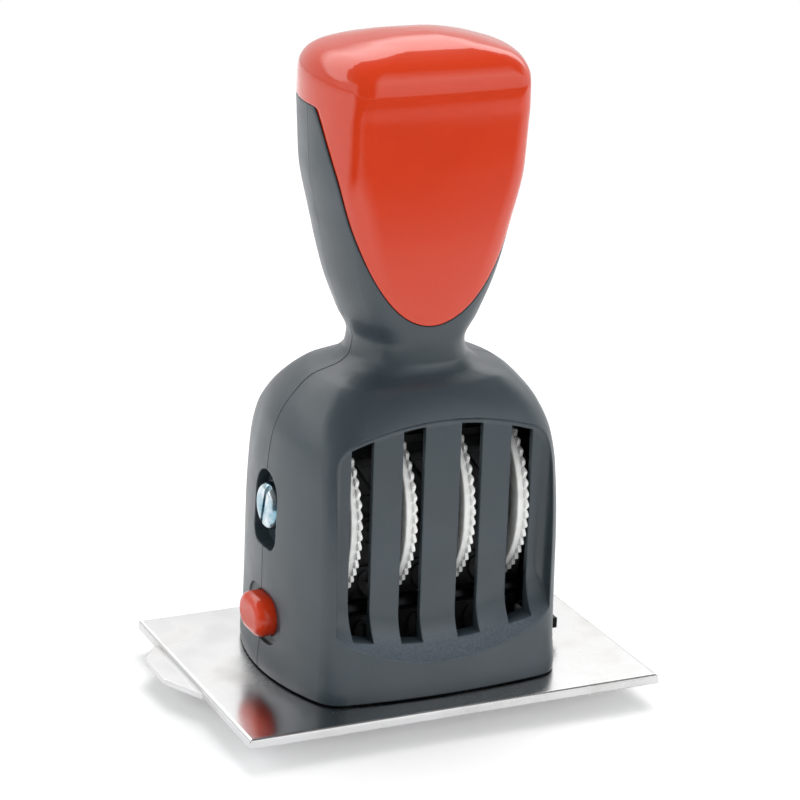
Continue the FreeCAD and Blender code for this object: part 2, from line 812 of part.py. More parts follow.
def ramp_outline(sketch, shape):
    """Half section of the space in front of the ramp, beside the axis it is turned about:
    across is the depth behind the seam plane, up is the distance from that axis."""
    start, bend = worth("ramp_centre_height - ramp_start"), worth("ramp_round")
    panel, far = -worth("panel_depth"), -worth("belt_half_deep + ramp_round")
    back = panel + worth("panel_wall") / 2
    edge = panel - bend
    sketch.addGeometry(line((back, start), (back, 0)))
    sketch.addGeometry(line((back, 0), (far, 0)))
    sketch.addGeometry(line((far, 0), (far, start + bend)))
    sketch.addGeometry(line((far, start + bend), (edge, start + bend)))
    sketch.addGeometry(arc((edge, start), bend, 0, math.pi / 2))
    sketch.addGeometry(line((panel, start), (back, start)))
    for number, follower in ((0, 1), (1, 2), (2, 3), (5, 0)):
        relate(sketch, "Coincident", number, END, follower, START)
    relate(sketch, "Coincident", 3, END, 4, END)
    relate(sketch, "Coincident", 4, START, 5, START)
    relate(sketch, "PointOnObject", 1, START, ACROSS_AXIS)
    relate(sketch, "PointOnObject", 1, END, ACROSS_AXIS)
    for number in (0, 2):
        relate(sketch, "Vertical", number)
    for number in (3, 5):
        relate(sketch, "Horizontal", number)
    dimension(sketch, "DistanceX", (0, START) + ORIGIN, "panel_depth - panel_wall / 2")
    dimension(sketch, "DistanceX", (2, START) + ORIGIN, "belt_half_deep + ramp_round")
    dimension(sketch, "DistanceX", (4, CENTRE) + ORIGIN, "panel_depth + ramp_round")
    dimension(sketch, "DistanceY", ORIGIN + (4, CENTRE), "ramp_centre_height - ramp_start")
    dimension(sketch, "Radius", (4,), "ramp_round")
    relate(sketch, "Horizontal", 4, CENTRE, 4, START)
    relate(sketch, "Vertical", 4, CENTRE, 4, END)


def ramp_space():
    """The space in front of the ramp, turned about an axis that runs from front to rear."""
    body = doc.addObject("PartDesign::Body", "ramp_space")
    sketch = sketch_on(body, "ramp_section", SIDE, "0")
    ramp_outline(sketch, None)
    turned = body.newObject("PartDesign::Revolution", "ramp_turn")
    turned.Profile = sketch
    turned.ReferenceAxis = (sketch, ["H_Axis"])
    turned.Angle = 360
    body.Tip = turned
    body.setExpression("Placement.Base.z", formula("ramp_centre_height"))
    return body


def panel_space():
    """The hollow in front of the panel, down to the ramp, with a round floor edge."""
    field = prism("panel_field", FRONT, panel_outline, None,
                  "-(belt_half_deep + ramp_round)", "-panel_depth")
    rounded("panel_floor_edge", field, "panel_floor_round",
            lambda middle: near(middle.y, "-panel_depth"))
    return shared("panel_space", [field, ramp_space()])


def slots():
    """The four slots, each through the panel and the ramp."""
    return [prism("slot_%d" % number, FRONT, slot_outline, middle,
                  "-(belt_half_deep + ramp_round)", "-panel_depth + panel_wall + slot_rim")
            for number, middle in enumerate(
                ("-slot_outer", "-slot_inner", "slot_inner", "slot_outer"), 1)]


# Shells

def half_space(name, sign):
    """Everything behind the seam, or before it where the sign is minus. The seam is an
    open line on the housing and a closed joint on the grip."""
    reach, depth = "belt_half_wide + wall + hook_proud", "belt_half_deep + wall"
    halves = []
    for part, gap, low, high in (("housing", "seam_gap", "-plate_top", "grip_seam_foot"),
                                 ("grip", "grip_seam_gap", "grip_seam_foot",
                                  "dome_top + wall")):
        near_face, far_face = "%s / 2" % gap, depth
        if sign < 0:
            near_face, far_face = "-(%s)" % depth, "-%s / 2" % gap
        halves.append(block("%s_%s" % (name, part), ("-(%s)" % reach, near_face, low),
                            (reach, far_face, high)))
    return joined(name, halves)


def side_windows():
    """Bosses and cutters of the two side windows, mirrored about the middle."""
    bosses, cutters = [], []
    outside, floor_back = "belt_half_wide + wall", "floor_face - window_floor"
    for hand, sign in (("left", -1), ("right", 1)):
        def span(near_text, far_text, sign=sign):
            ends = ("-(%s)" % far_text, "-(%s)" % near_text)
            return ends if sign < 0 else (near_text, far_text)
        straight = "window_half_tall - window_half_wide"
        bosses.append(prism("window_boss_" + hand, SIDE, obround,
                            ("0", "window_height", straight,
                             "window_half_wide + window_wall", True),
                            *span(floor_back, "belt_half_wide - wall / 2")))
        cutters.append(prism("window_" + hand, SIDE, obround,
                             ("0", "window_height", straight, "window_half_wide", True),
                             *span("floor_face", outside)))
        foot = prism("window_foot_" + hand, SIDE, rectangle,
                     ("-window_half_wide", "window_height - window_half_tall",
                      "window_half_wide", "window_height"), *span("floor_face", outside))
        rounded("window_foot_corners_" + hand, foot, "window_corner",
                lambda middle: near(middle.z, "window_height - window_half_tall")
                and near(abs(middle.y), "window_half_wide"))
        cutters.append(foot)
        cutters.append(prism("window_slot_" + hand, SIDE, obround,
                             ("0", "window_height",
                              "window_slot_half_tall - window_slot_half_wide",
                              "window_slot_half_wide", True),
                             *span("carrier_right", outside)))
    return bosses, cutters


def pins():
    """The places of the three shell pins, from the lowest up."""
    return ["pin_first + %d * pin_spacing" % number for number in range(3)]


def tongue():
    """The tube of the shells inside the cover, with bosses for the pins."""
    tube = block("tongue_tube", ("-tongue_half_wide", "-tongue_half_deep", "tongue_foot"),
                 ("tongue_half_wide", "tongue_half_deep", "tongue_top"))
    hollow = block("tongue_hollow",
                   ("tongue_wall - tongue_half_wide", "tongue_wall - tongue_half_deep",
                    "tongue_foot - wall"),
                   ("tongue_half_wide - tongue_wall", "tongue_half_deep - tongue_wall",
                    "tongue_top - tongue_wall"))
    bosses = [rod("pin_boss_%d" % number, "y", ("0", height), "pin_radius + pin_boss_wall",
                  "tongue_wall / 2 - tongue_half_deep", "tongue_half_deep - tongue_wall / 2")
              for number, height in enumerate(pins())]
    return shared("tongue_inside", [
        joined("tongue", [less("tongue_shell", tube, [hollow])] + bosses), outer])


def rib(name, low, high):
    """The wall that the button's spring leans on."""
    return block(name, ("-(carrier_left + side_plate_thick + rib_gap + rib_thick)", low,
                        "button_height - spring_radius"),
                 ("-(carrier_left + side_plate_thick + rib_gap)", high,
                  "button_height + spring_radius"))


def button_cutters():
    """The hole of the release button and the shallow dish round it."""
    hole = prism("button_hole", SIDE, obround,
                 ("0", "button_height", "button_half_run",
                  "button_half_tall + button_gap", False),
                 "-(belt_half_wide + wall)", "-(belt_half_wide - 2 * wall)")
    dish = prism("button_dish", SIDE, obround,
                 ("0", "button_height", "button_half_run + dish_run",
                  "button_half_tall + dish_margin", False),
                 "-(belt_half_wide + wall)", "-(belt_half_wide - dish_depth)")
    rounded("button_dish_floor", dish, "dish_round",
            lambda middle: near(middle.x, "-(belt_half_wide - dish_depth)"))
    return [hole, dish]


def hook_cutters():
    """The opening of the right wall for the hook, and the room inside it."""
    reach = "(hook_half + hook_clear)"
    opening = block("hook_opening",
                    ("belt_half_wide - 2 * wall", "-" + reach, "hook_foot - ledge_gap"),
                    ("belt_half_wide + wall + hook_proud", reach,
                     "hook_foot + hook_thick + ledge_gap + hook_clear"))
    room = block("hook_room", ("belt_half_wide - 2 * wall", "-" + reach, "-plate_top"),
                 ("belt_half_wide - ledge_thick + ledge_lap", reach, "hook_foot"))
    return [opening, room]


bosses, window_cutters = side_windows()
pin_bores = [rod("pin_bore_%d" % number, "y", ("0", height), "pin_radius + pin_gap",
                 "pin_cap - tongue_half_deep", "tongue_half_deep - pin_cap")
             for number, height in enumerate(pins())]
dark_skin = less("dark_skin", casing, [cover_space("cover_room", "0")])
bosses = [shared("window_bosses", [joined("window_boss_pair", bosses), outer])]
housing = less("housing", joined("housing_fitted", [dark_skin, tongue()] + bosses),
               window_cutters + pin_bores + button_cutters() + hook_cutters())

rear_rib = rib("rear_rib", "seam_gap / 2", "belt_half_deep - wall / 2")
rear_half = half_space("rear_half", 1)
rear_shell = joined("rear_shell", [shared("rear_part", [housing, rear_half]),
                                   shared("rear_rib_part", [rear_rib, outer])])
piece(rear_shell, "rear_shell")

panel_block = shared("panel_block", [outer, block(
    "panel_room", ("-(belt_half_wide + wall)", "-(belt_half_deep + wall)", "panel_foot"),
    ("belt_half_wide + wall", "panel_wall - panel_depth", "panel_arch_top + wall"))])
front_rib = rib("front_rib", "panel_wall / 2 - panel_depth", "-seam_gap / 2")
front_half = half_space("front_half", -1)
front_part = shared("front_part", [housing, front_half])
front_shell = less("front_shell", joined("front_solid", [front_part, panel_block, front_rib]),
                   [panel_space()] + slots())
piece(front_shell, "front_shell")

shell_pins = group("shell_pins", [
    rod("pin_%d" % number, "y", ("0", height), "pin_radius",
        "2 * pin_cap - tongue_half_deep", "tongue_half_deep - 2 * pin_cap")
    for number, height in enumerate(pins())])
piece(shell_pins, "shell_pins")


# Setting wheels

WHEELS = {1: "-wheel_outer", 2: "-wheel_inner", 3: "wheel_inner", 4: "wheel_outer"}


def drum_length(number):
    """The last drum is short, because its band is narrow."""
    return "drum_short" if number == 4 else "drum_long"


def toothed_disc():
    """A disc with round teeth, centred on x = 0 and on the wheels' axis."""
    body = doc.addObject("PartDesign::Body", "toothed_disc")
    plain = sketch_on(body, "disc_root", SIDE, "-disc_thick / 2")
    disc(plain, ("0", "0", "wheel_tip - tooth_round"))
    pad(body, plain, "disc_thick")
    doc.recompute()
    tooth = sketch_on(body, "tooth", SIDE, "-disc_thick / 2")
    disc(tooth, ("0", "wheel_tip - tooth_round", "tooth_round"))
    tooth_pad = pad(body, tooth, "disc_thick")
    doc.recompute()
    pattern = body.newObject("PartDesign::PolarPattern", "teeth")
    pattern.Originals = [tooth_pad]
    pattern.Axis = (plain, ["N_Axis"])
    pattern.Angle = 360
    pattern.setExpression("Occurrences", formula("tooth_count"))
    body.Tip = pattern
    body.setExpression("Placement.Base.z", formula("wheel_height"))
    return body


def bevel_space(name, radius, thick, bevel):
    """A cone along x that cuts a bevel on the left side of a disc on the wheels' axis."""
    cone = doc.addObject("Part::Cone", name)
    cone.Placement = FreeCAD.Placement(FreeCAD.Vector(), TURNS["x"])
    cone.setExpression("Radius1", formula("%s - %s" % (radius, bevel)))
    cone.setExpression("Radius2", formula("%s - %s + %s" % (radius, bevel, thick)))
    cone.setExpression("Height", formula(thick))
    cone.setExpression("Placement.Base.x", formula("-%s / 2" % thick))
    cone.setExpression("Placement.Base.z", formula("wheel_height"))
    base_heights[name] = "wheel_height"
    return cone


rim = shared("wheel_rim", [toothed_disc(),
                           bevel_space("rim_bevel", "wheel_tip", "disc_thick", "disc_bevel")])
bore = rod("wheel_bore", "x", ("0", "wheel_height"), "axle_radius + axle_gap",
           "-drum_long", "2 * drum_long")
for number, middle in WHEELS.items():
    drum = rod("drum_%d" % number, "x", ("0", "wheel_height"), "drum_radius", "0",
               "disc_thick / 2 + " + drum_length(number))
    wheel = less("wheel_%d" % number, joined("wheel_%d_solid" % number, [rim, drum]), [bore])
    wheel.setExpression("Placement.Base.x", formula(middle))
    piece(wheel, "wheel_%d" % number)


# Bands

def belt(sketch, spread):
    """A loop round the drum and the two lower corners of the anvil, one spread away from
    both."""
    wheel, corner = "drum_radius + " + spread, "anvil_corner + " + spread
    big, small = worth(wheel), worth(corner)
    foot_across = worth("anvil_half_deep - anvil_corner")
    foot_up = worth("anvil_foot + anvil_corner")
    top = worth("wheel_height")
    apart = math.hypot(foot_across, top - foot_up)
    lean = math.atan2(top - foot_up, -foot_across) - math.acos((small - big) / apart)
    first = sketch.GeometryCount

    def edge(centre, radius, angle):
        return centre[0] + radius * math.cos(angle), centre[1] + radius * math.sin(angle)

    left, right, half = (-foot_across, foot_up), (foot_across, foot_up), math.pi
    sketch.addGeometry(arc((0, top), big, lean, half - lean))
    sketch.addGeometry(line(edge((0, top), big, half - lean), edge(left, small, half - lean)))
    sketch.addGeometry(arc(left, small, half - lean, 1.5 * half))
    sketch.addGeometry(line(edge(left, small, 1.5 * half), edge(right, small, 1.5 * half)))
    sketch.addGeometry(arc(right, small, 1.5 * half, 2 * half + lean))
    sketch.addGeometry(line(edge(right, small, lean), edge((0, top), big, lean)))
    smooth_ring(sketch, first, 6)
    relate(sketch, "PointOnObject", first, CENTRE, UP_AXIS)
    dimension(sketch, "DistanceY", ORIGIN + (first, CENTRE), "wheel_height")
    dimension(sketch, "DistanceX", (first + 2, CENTRE) + ORIGIN,
              "anvil_half_deep - anvil_corner")
    dimension(sketch, "DistanceX", ORIGIN + (first + 4, CENTRE),
              "anvil_half_deep - anvil_corner")
    dimension(sketch, "DistanceY", ORIGIN + (first + 2, CENTRE), "anvil_foot + anvil_corner")
    dimension(sketch, "DistanceY", ORIGIN + (first + 4, CENTRE), "anvil_foot + anvil_corner")
    dimension(sketch, "Radius", (first,), wheel)
    dimension(sketch, "Radius", (first + 2,), corner)
    dimension(sketch, "Radius", (first + 4,), corner)


def belt_ring(sketch, spreads):
    """The belt's inner and outer face."""
    for spread in spreads:
        belt(sketch, spread)


def loop_places():
    """Middle of each pad on the band's outer face, and the way it faces, going round from
    the printing pad at the foot."""
    spread = worth("band_gap + band_thick")
    big, small = worth("drum_radius") + spread, worth("anvil_corner") + spread
    foot_across = worth("anvil_half_deep - anvil_corner")
    foot_up, top = worth("anvil_foot + anvil_corner"), worth("wheel_height")
    apart = math.hypot(foot_across, top - foot_up)
    lean = math.atan2(top - foot_up, -foot_across) - math.acos((small - big) / apart)
    flat, bend, rise = foot_across, small * (math.pi / 2 + lean), math.sqrt(
        apart ** 2 - (big - small) ** 2)
    half_loop = flat + bend + rise + big * (math.pi / 2 - lean)
    count = int(worth("pad_count"))
    places = []
    for number in range(count):
        run = 2 * half_loop * number / count
        sign = 1 if run <= half_loop else -1
        run = min(run, 2 * half_loop - run)
        if run < flat:
            across, up, angle = run, foot_up - small, -math.pi / 2
        elif run < flat + bend:
            angle = (run - flat) / small - math.pi / 2
            across = foot_across + small * math.cos(angle)
            up = foot_up + small * math.sin(angle)
        elif run < flat + bend + rise:
            angle, along = lean, run - flat - bend
            across = foot_across + small * math.cos(lean) - along * math.sin(lean)
            up = foot_up + small * math.sin(lean) + along * math.cos(lean)
        else:
            angle = lean + (run - flat - bend - rise) / big
            across, up = big * math.cos(angle), top + big * math.sin(angle)
        places.append((sign * across, up, angle if sign > 0 else math.pi - angle))
    return places


def band(number):
    """One band: a flat loop with raised pads round it."""
    left = "%s + disc_thick / 2 + band_side_gap" % WHEELS[number]
    right = "%s + disc_thick / 2 + %s - band_side_gap" % (WHEELS[number], drum_length(number))
    name = "band_%d" % number
    loop = prism(name + "_loop", SIDE, belt_ring, ("band_gap", "(band_gap + band_thick)"),
                 left, right)
    pads = []
    root = worth("band_thick") / 2
    for order, (across, up, angle) in enumerate(loop_places()):
        solid = doc.addObject("Part::Box", "%s_pad_%d" % (name, order))
        solid.setExpression("Length", formula("(%s) - (%s)" % (right, left)))
        solid.setExpression("Width", formula("pad_tall + band_thick / 2"))
        solid.setExpression("Height", formula("pad_long"))
        turn = FreeCAD.Rotation(FreeCAD.Vector(1, 0, 0), math.degrees(angle))
        shift = turn.multVec(FreeCAD.Vector(0, -root, -worth("pad_long") / 2))
        solid.Placement = FreeCAD.Placement(
            FreeCAD.Vector(worth(left), across, up) + shift, turn)
        pads.append(solid)
    return piece(joined(name, [loop] + pads), name)


for number in WHEELS:
    band(number)


# Band carrier

CARRIER = ("-carrier_left", "carrier_right")


def cross_rod_places():
    """Depths of the front and the rear cross rod."""
    return "-cross_rod_reach", "cross_rod_reach"


def side_plate_outline(sketch, shape):
    """A side plate: narrow foot beside the anvil, ears for the cross rods, narrow top."""
    ear = "cross_rod_reach + ear_half_tall"
    right = [
        ("side_plate_foot_half", "anvil_foot + side_plate_lift"),
        ("side_plate_foot_half + side_plate_flare", "cross_rod_height - ear_half_tall - ear_run"),
        (ear, "cross_rod_height - ear_half_tall"),
        (ear, "cross_rod_height + ear_half_tall"),
        ("side_plate_half", "cross_rod_height + ear_half_tall + ear_run"),
        ("side_plate_half", "side_plate_top - side_plate_shoulder"),
        ("side_plate_foot_half", "side_plate_top"),
    ]
    left = [("-(%s)" % across, up) for across, up in reversed(right)]
    outline(sketch, right + left)


def side_plate(name, left, right):
    """A side plate with its holes for the axle and the cross rods."""
    blank = prism(name + "_blank", SIDE, side_plate_outline, None, left, right)
    holes = [rod(name + "_axle_hole", "x", ("0", "wheel_height"), "axle_radius", left, right)]
    for order, depth in enumerate(cross_rod_places()):
        holes.append(rod("%s_rod_hole_%d" % (name, order), "x", (depth, "cross_rod_height"),
                         "cross_rod_radius", left, right))
    return piece(less(name, blank, holes), name)


LEFT_OUTSIDE = "-(carrier_left + side_plate_thick)"
RIGHT_OUTSIDE = "carrier_right + side_plate_thick"
side_plate("side_plate_left", LEFT_OUTSIDE, "-carrier_left")
side_plate("side_plate_right", "carrier_right", RIGHT_OUTSIDE)

axle_bar = rod("axle_bar", "x", ("0", "wheel_height"), "axle_radius", "-axle_end", "axle_end")
axle_bores = [
    rod("axle_bore_left", "x", ("0", "wheel_height"), "screw_shank_radius + axle_gap",
        "-axle_end", "screw_bore_depth - axle_end"),
    rod("axle_bore_right", "x", ("0", "wheel_height"), "screw_shank_radius + axle_gap",
        "axle_end - screw_bore_depth", "axle_end"),
]
piece(less("wheel_axle", axle_bar, axle_bores), "wheel_axle")
piece(ring("axle_bush", "x", ("0", "wheel_height"), "ring_radius", "axle_radius",
           "-axle_end", LEFT_OUTSIDE), "axle_bush")
spacers = []
for number in (1, 2, 3):
    spacers.append(ring("spacer_%d" % number, "x", ("0", "wheel_height"), "ring_radius",
                        "axle_radius",
                        "%s + disc_thick / 2 + drum_long + shim_gap" % WHEELS[number],
                        "%s - disc_thick / 2 - shim_gap" % WHEELS[number + 1]))
piece(group("spacer_rings", spacers), "spacer_rings")
piece(group("cross_rods", [
    rod("cross_rod_%d" % order, "x", (depth, "cross_rod_height"), "cross_rod_radius",
        LEFT_OUTSIDE, RIGHT_OUTSIDE)
    for order, depth in enumerate(cross_rod_places())]), "cross_rods")


def anvil_outline(sketch, shape):
    """The anvil's end: a bar with two round lower corners."""
    half, corner = worth("anvil_half_deep"), worth("anvil_corner")
    foot, top = worth("anvil_foot"), worth("anvil_top")
    flat = half - corner
    sketch.addGeometry(line((flat, foot), (-flat, foot)))
    sketch.addGeometry(arc((-flat, foot + corner), corner, math.pi, 1.5 * math.pi))
    sketch.addGeometry(line((-half, foot + corner), (-half, top)))
    sketch.addGeometry(line((-half, top), (half, top)))
    sketch.addGeometry(line((half, top), (half, foot + corner)))
    sketch.addGeometry(arc((flat, foot + corner), corner, 1.5 * math.pi, 2 * math.pi))
    relate(sketch, "Tangent", 0, END, 1, END)
    relate(sketch, "Tangent", 1, START, 2, START)
    relate(sketch, "Coincident", 2, END, 3, START)
    relate(sketch, "Coincident", 3, END, 4, START)
    relate(sketch, "Tangent", 4, END, 5, END)
    relate(sketch, "Tangent", 5, START, 0, START)
    relate(sketch, "Horizontal", 0)
    relate(sketch, "Horizontal", 3)
    relate(sketch, "Vertical", 2)
    relate(sketch, "Vertical", 4)
    dimension(sketch, "Radius", (1,), "anvil_corner")
    dimension(sketch, "Radius", (5,), "anvil_corner")
    dimension(sketch, "DistanceX", ORIGIN + (4, START), "anvil_half_deep")
    dimension(sketch, "DistanceX", (2, START) + ORIGIN, "anvil_half_deep")
    dimension(sketch, "DistanceY", ORIGIN + (3, START), "anvil_top")
    dimension(sketch, "DistanceY", ORIGIN + (1, CENTRE), "anvil_foot + anvil_corner")


anvil = piece(prism("anvil", SIDE, anvil_outline, None, *CARRIER), "anvil")
anvil_room = prism("anvil_room", SIDE, anvil_outline, None, *CARRIER)
separators = []
for number in (1, 2, 3):
    gap_left = "(%s + disc_thick / 2 + drum_long - band_side_gap)" % WHEELS[number]
    gap_right = "(%s + disc_thick / 2 + band_side_gap)" % WHEELS[number + 1]
    middle = "(%s + %s) / 2" % (gap_left, gap_right)
    blank = block("separator_blank_%d" % number,
                  (middle + " - separator_thick / 2", "-separator_half_deep",
                   "separator_foot"),
                  (middle + " + separator_thick / 2", "separator_half_deep",
                   "separator_top"))
    separators.append(less("separator_%d" % number, blank, [anvil_room]))
piece(group("band_separators", separators), "band_separators")


def leaf_outline(sketch, shape):
    """One leaf of the detent comb from the rear cross rod up to the wheel's teeth."""
    foot = "(cross_rod_reach + cross_rod_radius)"
    tip = "(wheel_tip + leaf_gap)"
    low = "cross_rod_height - cross_rod_radius"
    high = "cross_rod_height + cross_rod_radius"
    bend = "wheel_height - leaf_bend_drop"
    knee = "wheel_height - leaf_knee_drop"
    outline(sketch, [
        (foot, low),
        (foot + " + leaf_thick", low),
        (foot + " + leaf_thick", high),
        (tip + " - leaf_belly + 1.25 * leaf_thick", bend),
        (tip + " + leaf_thick", knee),
        (tip + " + leaf_thick", "leaf_top"),
        (tip, "leaf_top"),
        (tip, knee),
        (tip + " - leaf_belly", bend),
        (foot, high),
    ])


leaves = [block("leaf_root",
                ("-carrier_left", "cross_rod_reach + cross_rod_radius",
                 "cross_rod_height - cross_rod_radius"),
                ("carrier_right", "cross_rod_reach + cross_rod_radius + leaf_thick",
                 "cross_rod_height + cross_rod_radius"))]
for number, middle in WHEELS.items():
    leaves.append(prism("leaf_%d" % number, SIDE, leaf_outline, None,
                        "%s - disc_thick / 2" % middle, "%s + disc_thick / 2" % middle))
piece(joined("detent_spring", leaves), "detent_spring")


# Lock screws and their washers

def lock_screw(hand, sign):
    """A lock screw: domed head with a slot, and a shank into the axle's end."""
    name = "lock_screw_" + hand
    seat = "floor_face + 2 * washer_gap + washer_thick"
    ends = {"head": (seat, seat + " + screw_head_tall"),
            "shank": ("axle_end - screw_hold", seat + " + screw_head_tall / 2")}
    if sign < 0:
        ends = {part: ("-(%s)" % high, "-(%s)" % low) for part, (low, high) in ends.items()}
    spot = ("0", "wheel_height")
    head = prism(name + "_head", SIDE, disc, spot + ("screw_head_radius",), *ends["head"])
    rounded(name + "_dome", head, "screw_dome_round",
            lambda middle: near(middle.x, ends["head"][0 if sign < 0 else 1]))
    shank = rod(name + "_shank", "x", spot, "screw_shank_radius", *ends["shank"])
    slot = doc.addObject("Part::Box", name + "_slot")
    slot.setExpression("Length", formula("2 * screw_slot_deep"))
    slot.setExpression("Width", formula("screw_slot_wide"))
    slot.setExpression("Height", formula("4 * screw_head_radius"))
    turn = FreeCAD.Rotation(FreeCAD.Vector(1, 0, 0), -sign * worth("screw_slot_turn"))
    face = sign * worth(seat + " + screw_head_tall")
    shift = turn.multVec(FreeCAD.Vector(0, -worth("screw_slot_wide / 2"),
                                        -worth("2 * screw_head_radius")))
    slot.Placement = FreeCAD.Placement(
        FreeCAD.Vector(face - worth("screw_slot_deep"), 0, worth("wheel_height")) + shift, turn)
    return piece(less(name, joined(name + "_solid", [head, shank]), [slot]), name)


for hand, sign in (("left", -1), ("right", 1)):
    lock_screw(hand, sign)
    near_face, far_face = "floor_face + washer_gap", "floor_face + washer_gap + washer_thick"
    ends = (near_face, far_face) if sign > 0 else ("-(%s)" % far_face, "-(%s)" % near_face)
    piece(ring("washer_" + hand, "x", ("0", "wheel_height"), "washer_radius",
               "screw_shank_radius + axle_gap", *ends), "washer_" + hand)


# Release button and its spring

CATCH_OUTSIDE = "(belt_half_wide - wall - catch_gap)"
BUTTON_FACE = "(belt_half_wide + button_proud)"
RIB_FACE = "(carrier_left + side_plate_thick + rib_gap + rib_thick)"
ARM_OUTSIDE = "(belt_half_wide - wall - catch_gap - catch_thick - running_gap)"


def release_button():
    """The button: a long round cap, the flange that keeps it in, a block with the
    spring's bore and an arm that reaches down to the catch."""
    cap = prism("button_cap", SIDE, obround,
                ("0", "button_height", "button_half_run", "button_half_tall", False),
                "-" + BUTTON_FACE, "-(belt_half_wide - wall - flange_gap)")
    rounded("button_cap_edge", cap, "button_edge_round",
            lambda middle: near(middle.x, "-" + BUTTON_FACE))
    flange_back = "-(belt_half_wide - wall - flange_gap - flange_thick)"
    flange = block("button_flange",
                   ("-(belt_half_wide - wall - flange_gap)", "-flange_half", "block_foot"),
                   (flange_back, "flange_half", "button_height + button_half_tall"))
    core = block("button_core",
                 (flange_back, "-catch_half", "block_foot"),
                 ("-(%s + button_travel + button_gap * 2)" % RIB_FACE, "catch_half",
                  "button_height + button_half_tall"))
    neck_top = "button_height - spring_radius - button_gap"
    neck = block("button_neck", (flange_back, "-arm_half", "block_foot"),
                 ("arm_thick - " + ARM_OUTSIDE, "arm_half", neck_top))
    arm = block("button_arm", ("-" + ARM_OUTSIDE, "-arm_half", "arm_foot"),
                ("arm_thick - " + ARM_OUTSIDE, "arm_half", neck_top))
    bore = rod("button_spring_bore", "x", ("0", "button_height"), "spring_radius + spring_gap",
               "button_skin - " + BUTTON_FACE, "-" + RIB_FACE)
    return piece(less("release_button", joined("button_solid", [cap, flange, core, neck, arm]),
                      [bore]), "release_button")


release_button()


def helix_arcs(coil, pitch, length):
    """A coil along z drawn with arcs, two for each half turn, tangent to each other."""
    lead = pitch / (2 * math.pi)
    steps = math.ceil(2 * length / pitch)
    edges = []

    def spot(turn):
        return FreeCAD.Vector(coil * math.cos(turn), coil * math.sin(turn), lead * turn)

    def lean(turn):
        way = FreeCAD.Vector(-coil * math.sin(turn), coil * math.cos(turn), lead)
        return way.normalize()

    def bow(start, way, end):
        """The arc that leaves its start in one direction and reaches its end."""
        chord = end - start
        half = way.getAngle(chord) / 2
        out = way - chord * (way.dot(chord) / chord.dot(chord))
        height = chord.Length / 2 * math.tan(half)
        return Part.Arc(start, start + chord / 2 + out.normalize() * height, end).toShape()

    for number in range(steps):
        first, last = (2 * math.pi * length / pitch * (number + step) / steps
                       for step in (0, 1))
        start, end, leave, arrive = spot(first), spot(last), lean(first), lean(last)
        chord, both = end - start, leave + arrive
        bend = 2 * (1 - leave.dot(arrive))
        across = chord.dot(both)
        arm = (math.sqrt(across ** 2 + bend * chord.dot(chord)) - across) / bend
        joint = (start + end + (leave - arrive) * arm) / 2
        edges.append(bow(start, leave, joint))
        edges.append(bow(end, -arrive, joint))
    return edges


def button_spring():
    """A coil between the bottom of the button's bore and the rib."""
    wire, pitch = worth("spring_wire"), worth("spring_pitch")
    coil = worth("spring_radius") - wire / 2
    start = worth("button_skin - " + BUTTON_FACE) + wire / 2
    end = -worth(RIB_FACE) - wire / 2
    edges = helix_arcs(coil, pitch, end - start)
    way = FreeCAD.Vector(0, coil, pitch / (2 * math.pi))
    profile = Part.Wire([Part.makeCircle(wire / 2, FreeCAD.Vector(coil, 0, 0), way)])
    solid = Part.Wire(edges).makePipeShell([profile], True, False)
    feature = doc.addObject("Part::Feature", "button_spring")
    feature.Shape = solid
    feature.Placement = FreeCAD.Placement(FreeCAD.Vector(start, 0, 0), TURNS["x"])
    base_heights[feature.Name] = "button_height"
    return piece(feature, "button_spring")


button_spring()


# Text plate

def plate_outline(sketch, shape):
    """The plate from above, with its opening for the bands."""
    half_wide, half_deep = "plate_wide / 2", "plate_deep / 2"
    outline(sketch, [("-" + half_wide, "-" + half_deep), (half_wide, "-" + half_deep),
                     (half_wide, half_deep), ("-" + half_wide, half_deep)])
    gap = "(belt_half_wide - wall - catch_gap - catch_thick)"
    outline(sketch, [("-" + gap, "-opening_half_deep"), (gap, "-opening_half_deep"),
                     (gap, "opening_half_deep"), ("-" + gap, "opening_half_deep")])


plate = prism("plate_sheet", FLOOR, plate_outline, None, "-plate_thick", "0")
rounded("plate_edge", plate, "plate_edge_round",
        lambda middle: near(middle.z, "0") and (
            abs(middle.x) > worth("plate_wide / 2") - 0.1
            or abs(middle.y) > worth("plate_deep / 2") - 0.1))


def tab_outline(sketch, shape):
    """The tab from above: a shelf whose outer side is straight between two slanting ends."""
    root = "tab_lap - plate_wide / 2"
    far = "-(plate_wide / 2 + tab_reach)"
    outline(sketch, [(root, "-tab_front"), (root, "tab_back"),
                     ("-(plate_wide / 2 + tab_back_reach)", "tab_back"),
                     (far, "tab_flat_back"), (far, "tab_flat_front"),
                     ("tab_front_lap - plate_wide / 2", "-tab_front")])


tab = prism("plate_tab", FLOOR, tab_outline, None, "-(tab_drop + tab_thick)", "-tab_drop")
rounded("plate_tab_corner", tab, "tab_round",
        lambda middle: near(middle.x, "-(plate_wide / 2 + tab_reach)")
        and near(middle.z, "-(tab_drop + tab_thick / 2)"))
catch_blank = block("catch_blank", ("-" + CATCH_OUTSIDE, "-catch_half", "-plate_thick"),
                    ("catch_thick - " + CATCH_OUTSIDE, "catch_half", "catch_tall"))
catch_eye = block("catch_eye", ("-belt_half_wide", "-catch_eye_half", "catch_eye_foot"),
                  ("-carrier_left", "catch_eye_half", "catch_eye_top"))
catch = less("catch", catch_blank, [catch_eye])
piece(joined("text_plate", [plate, tab, catch]), "text_plate")

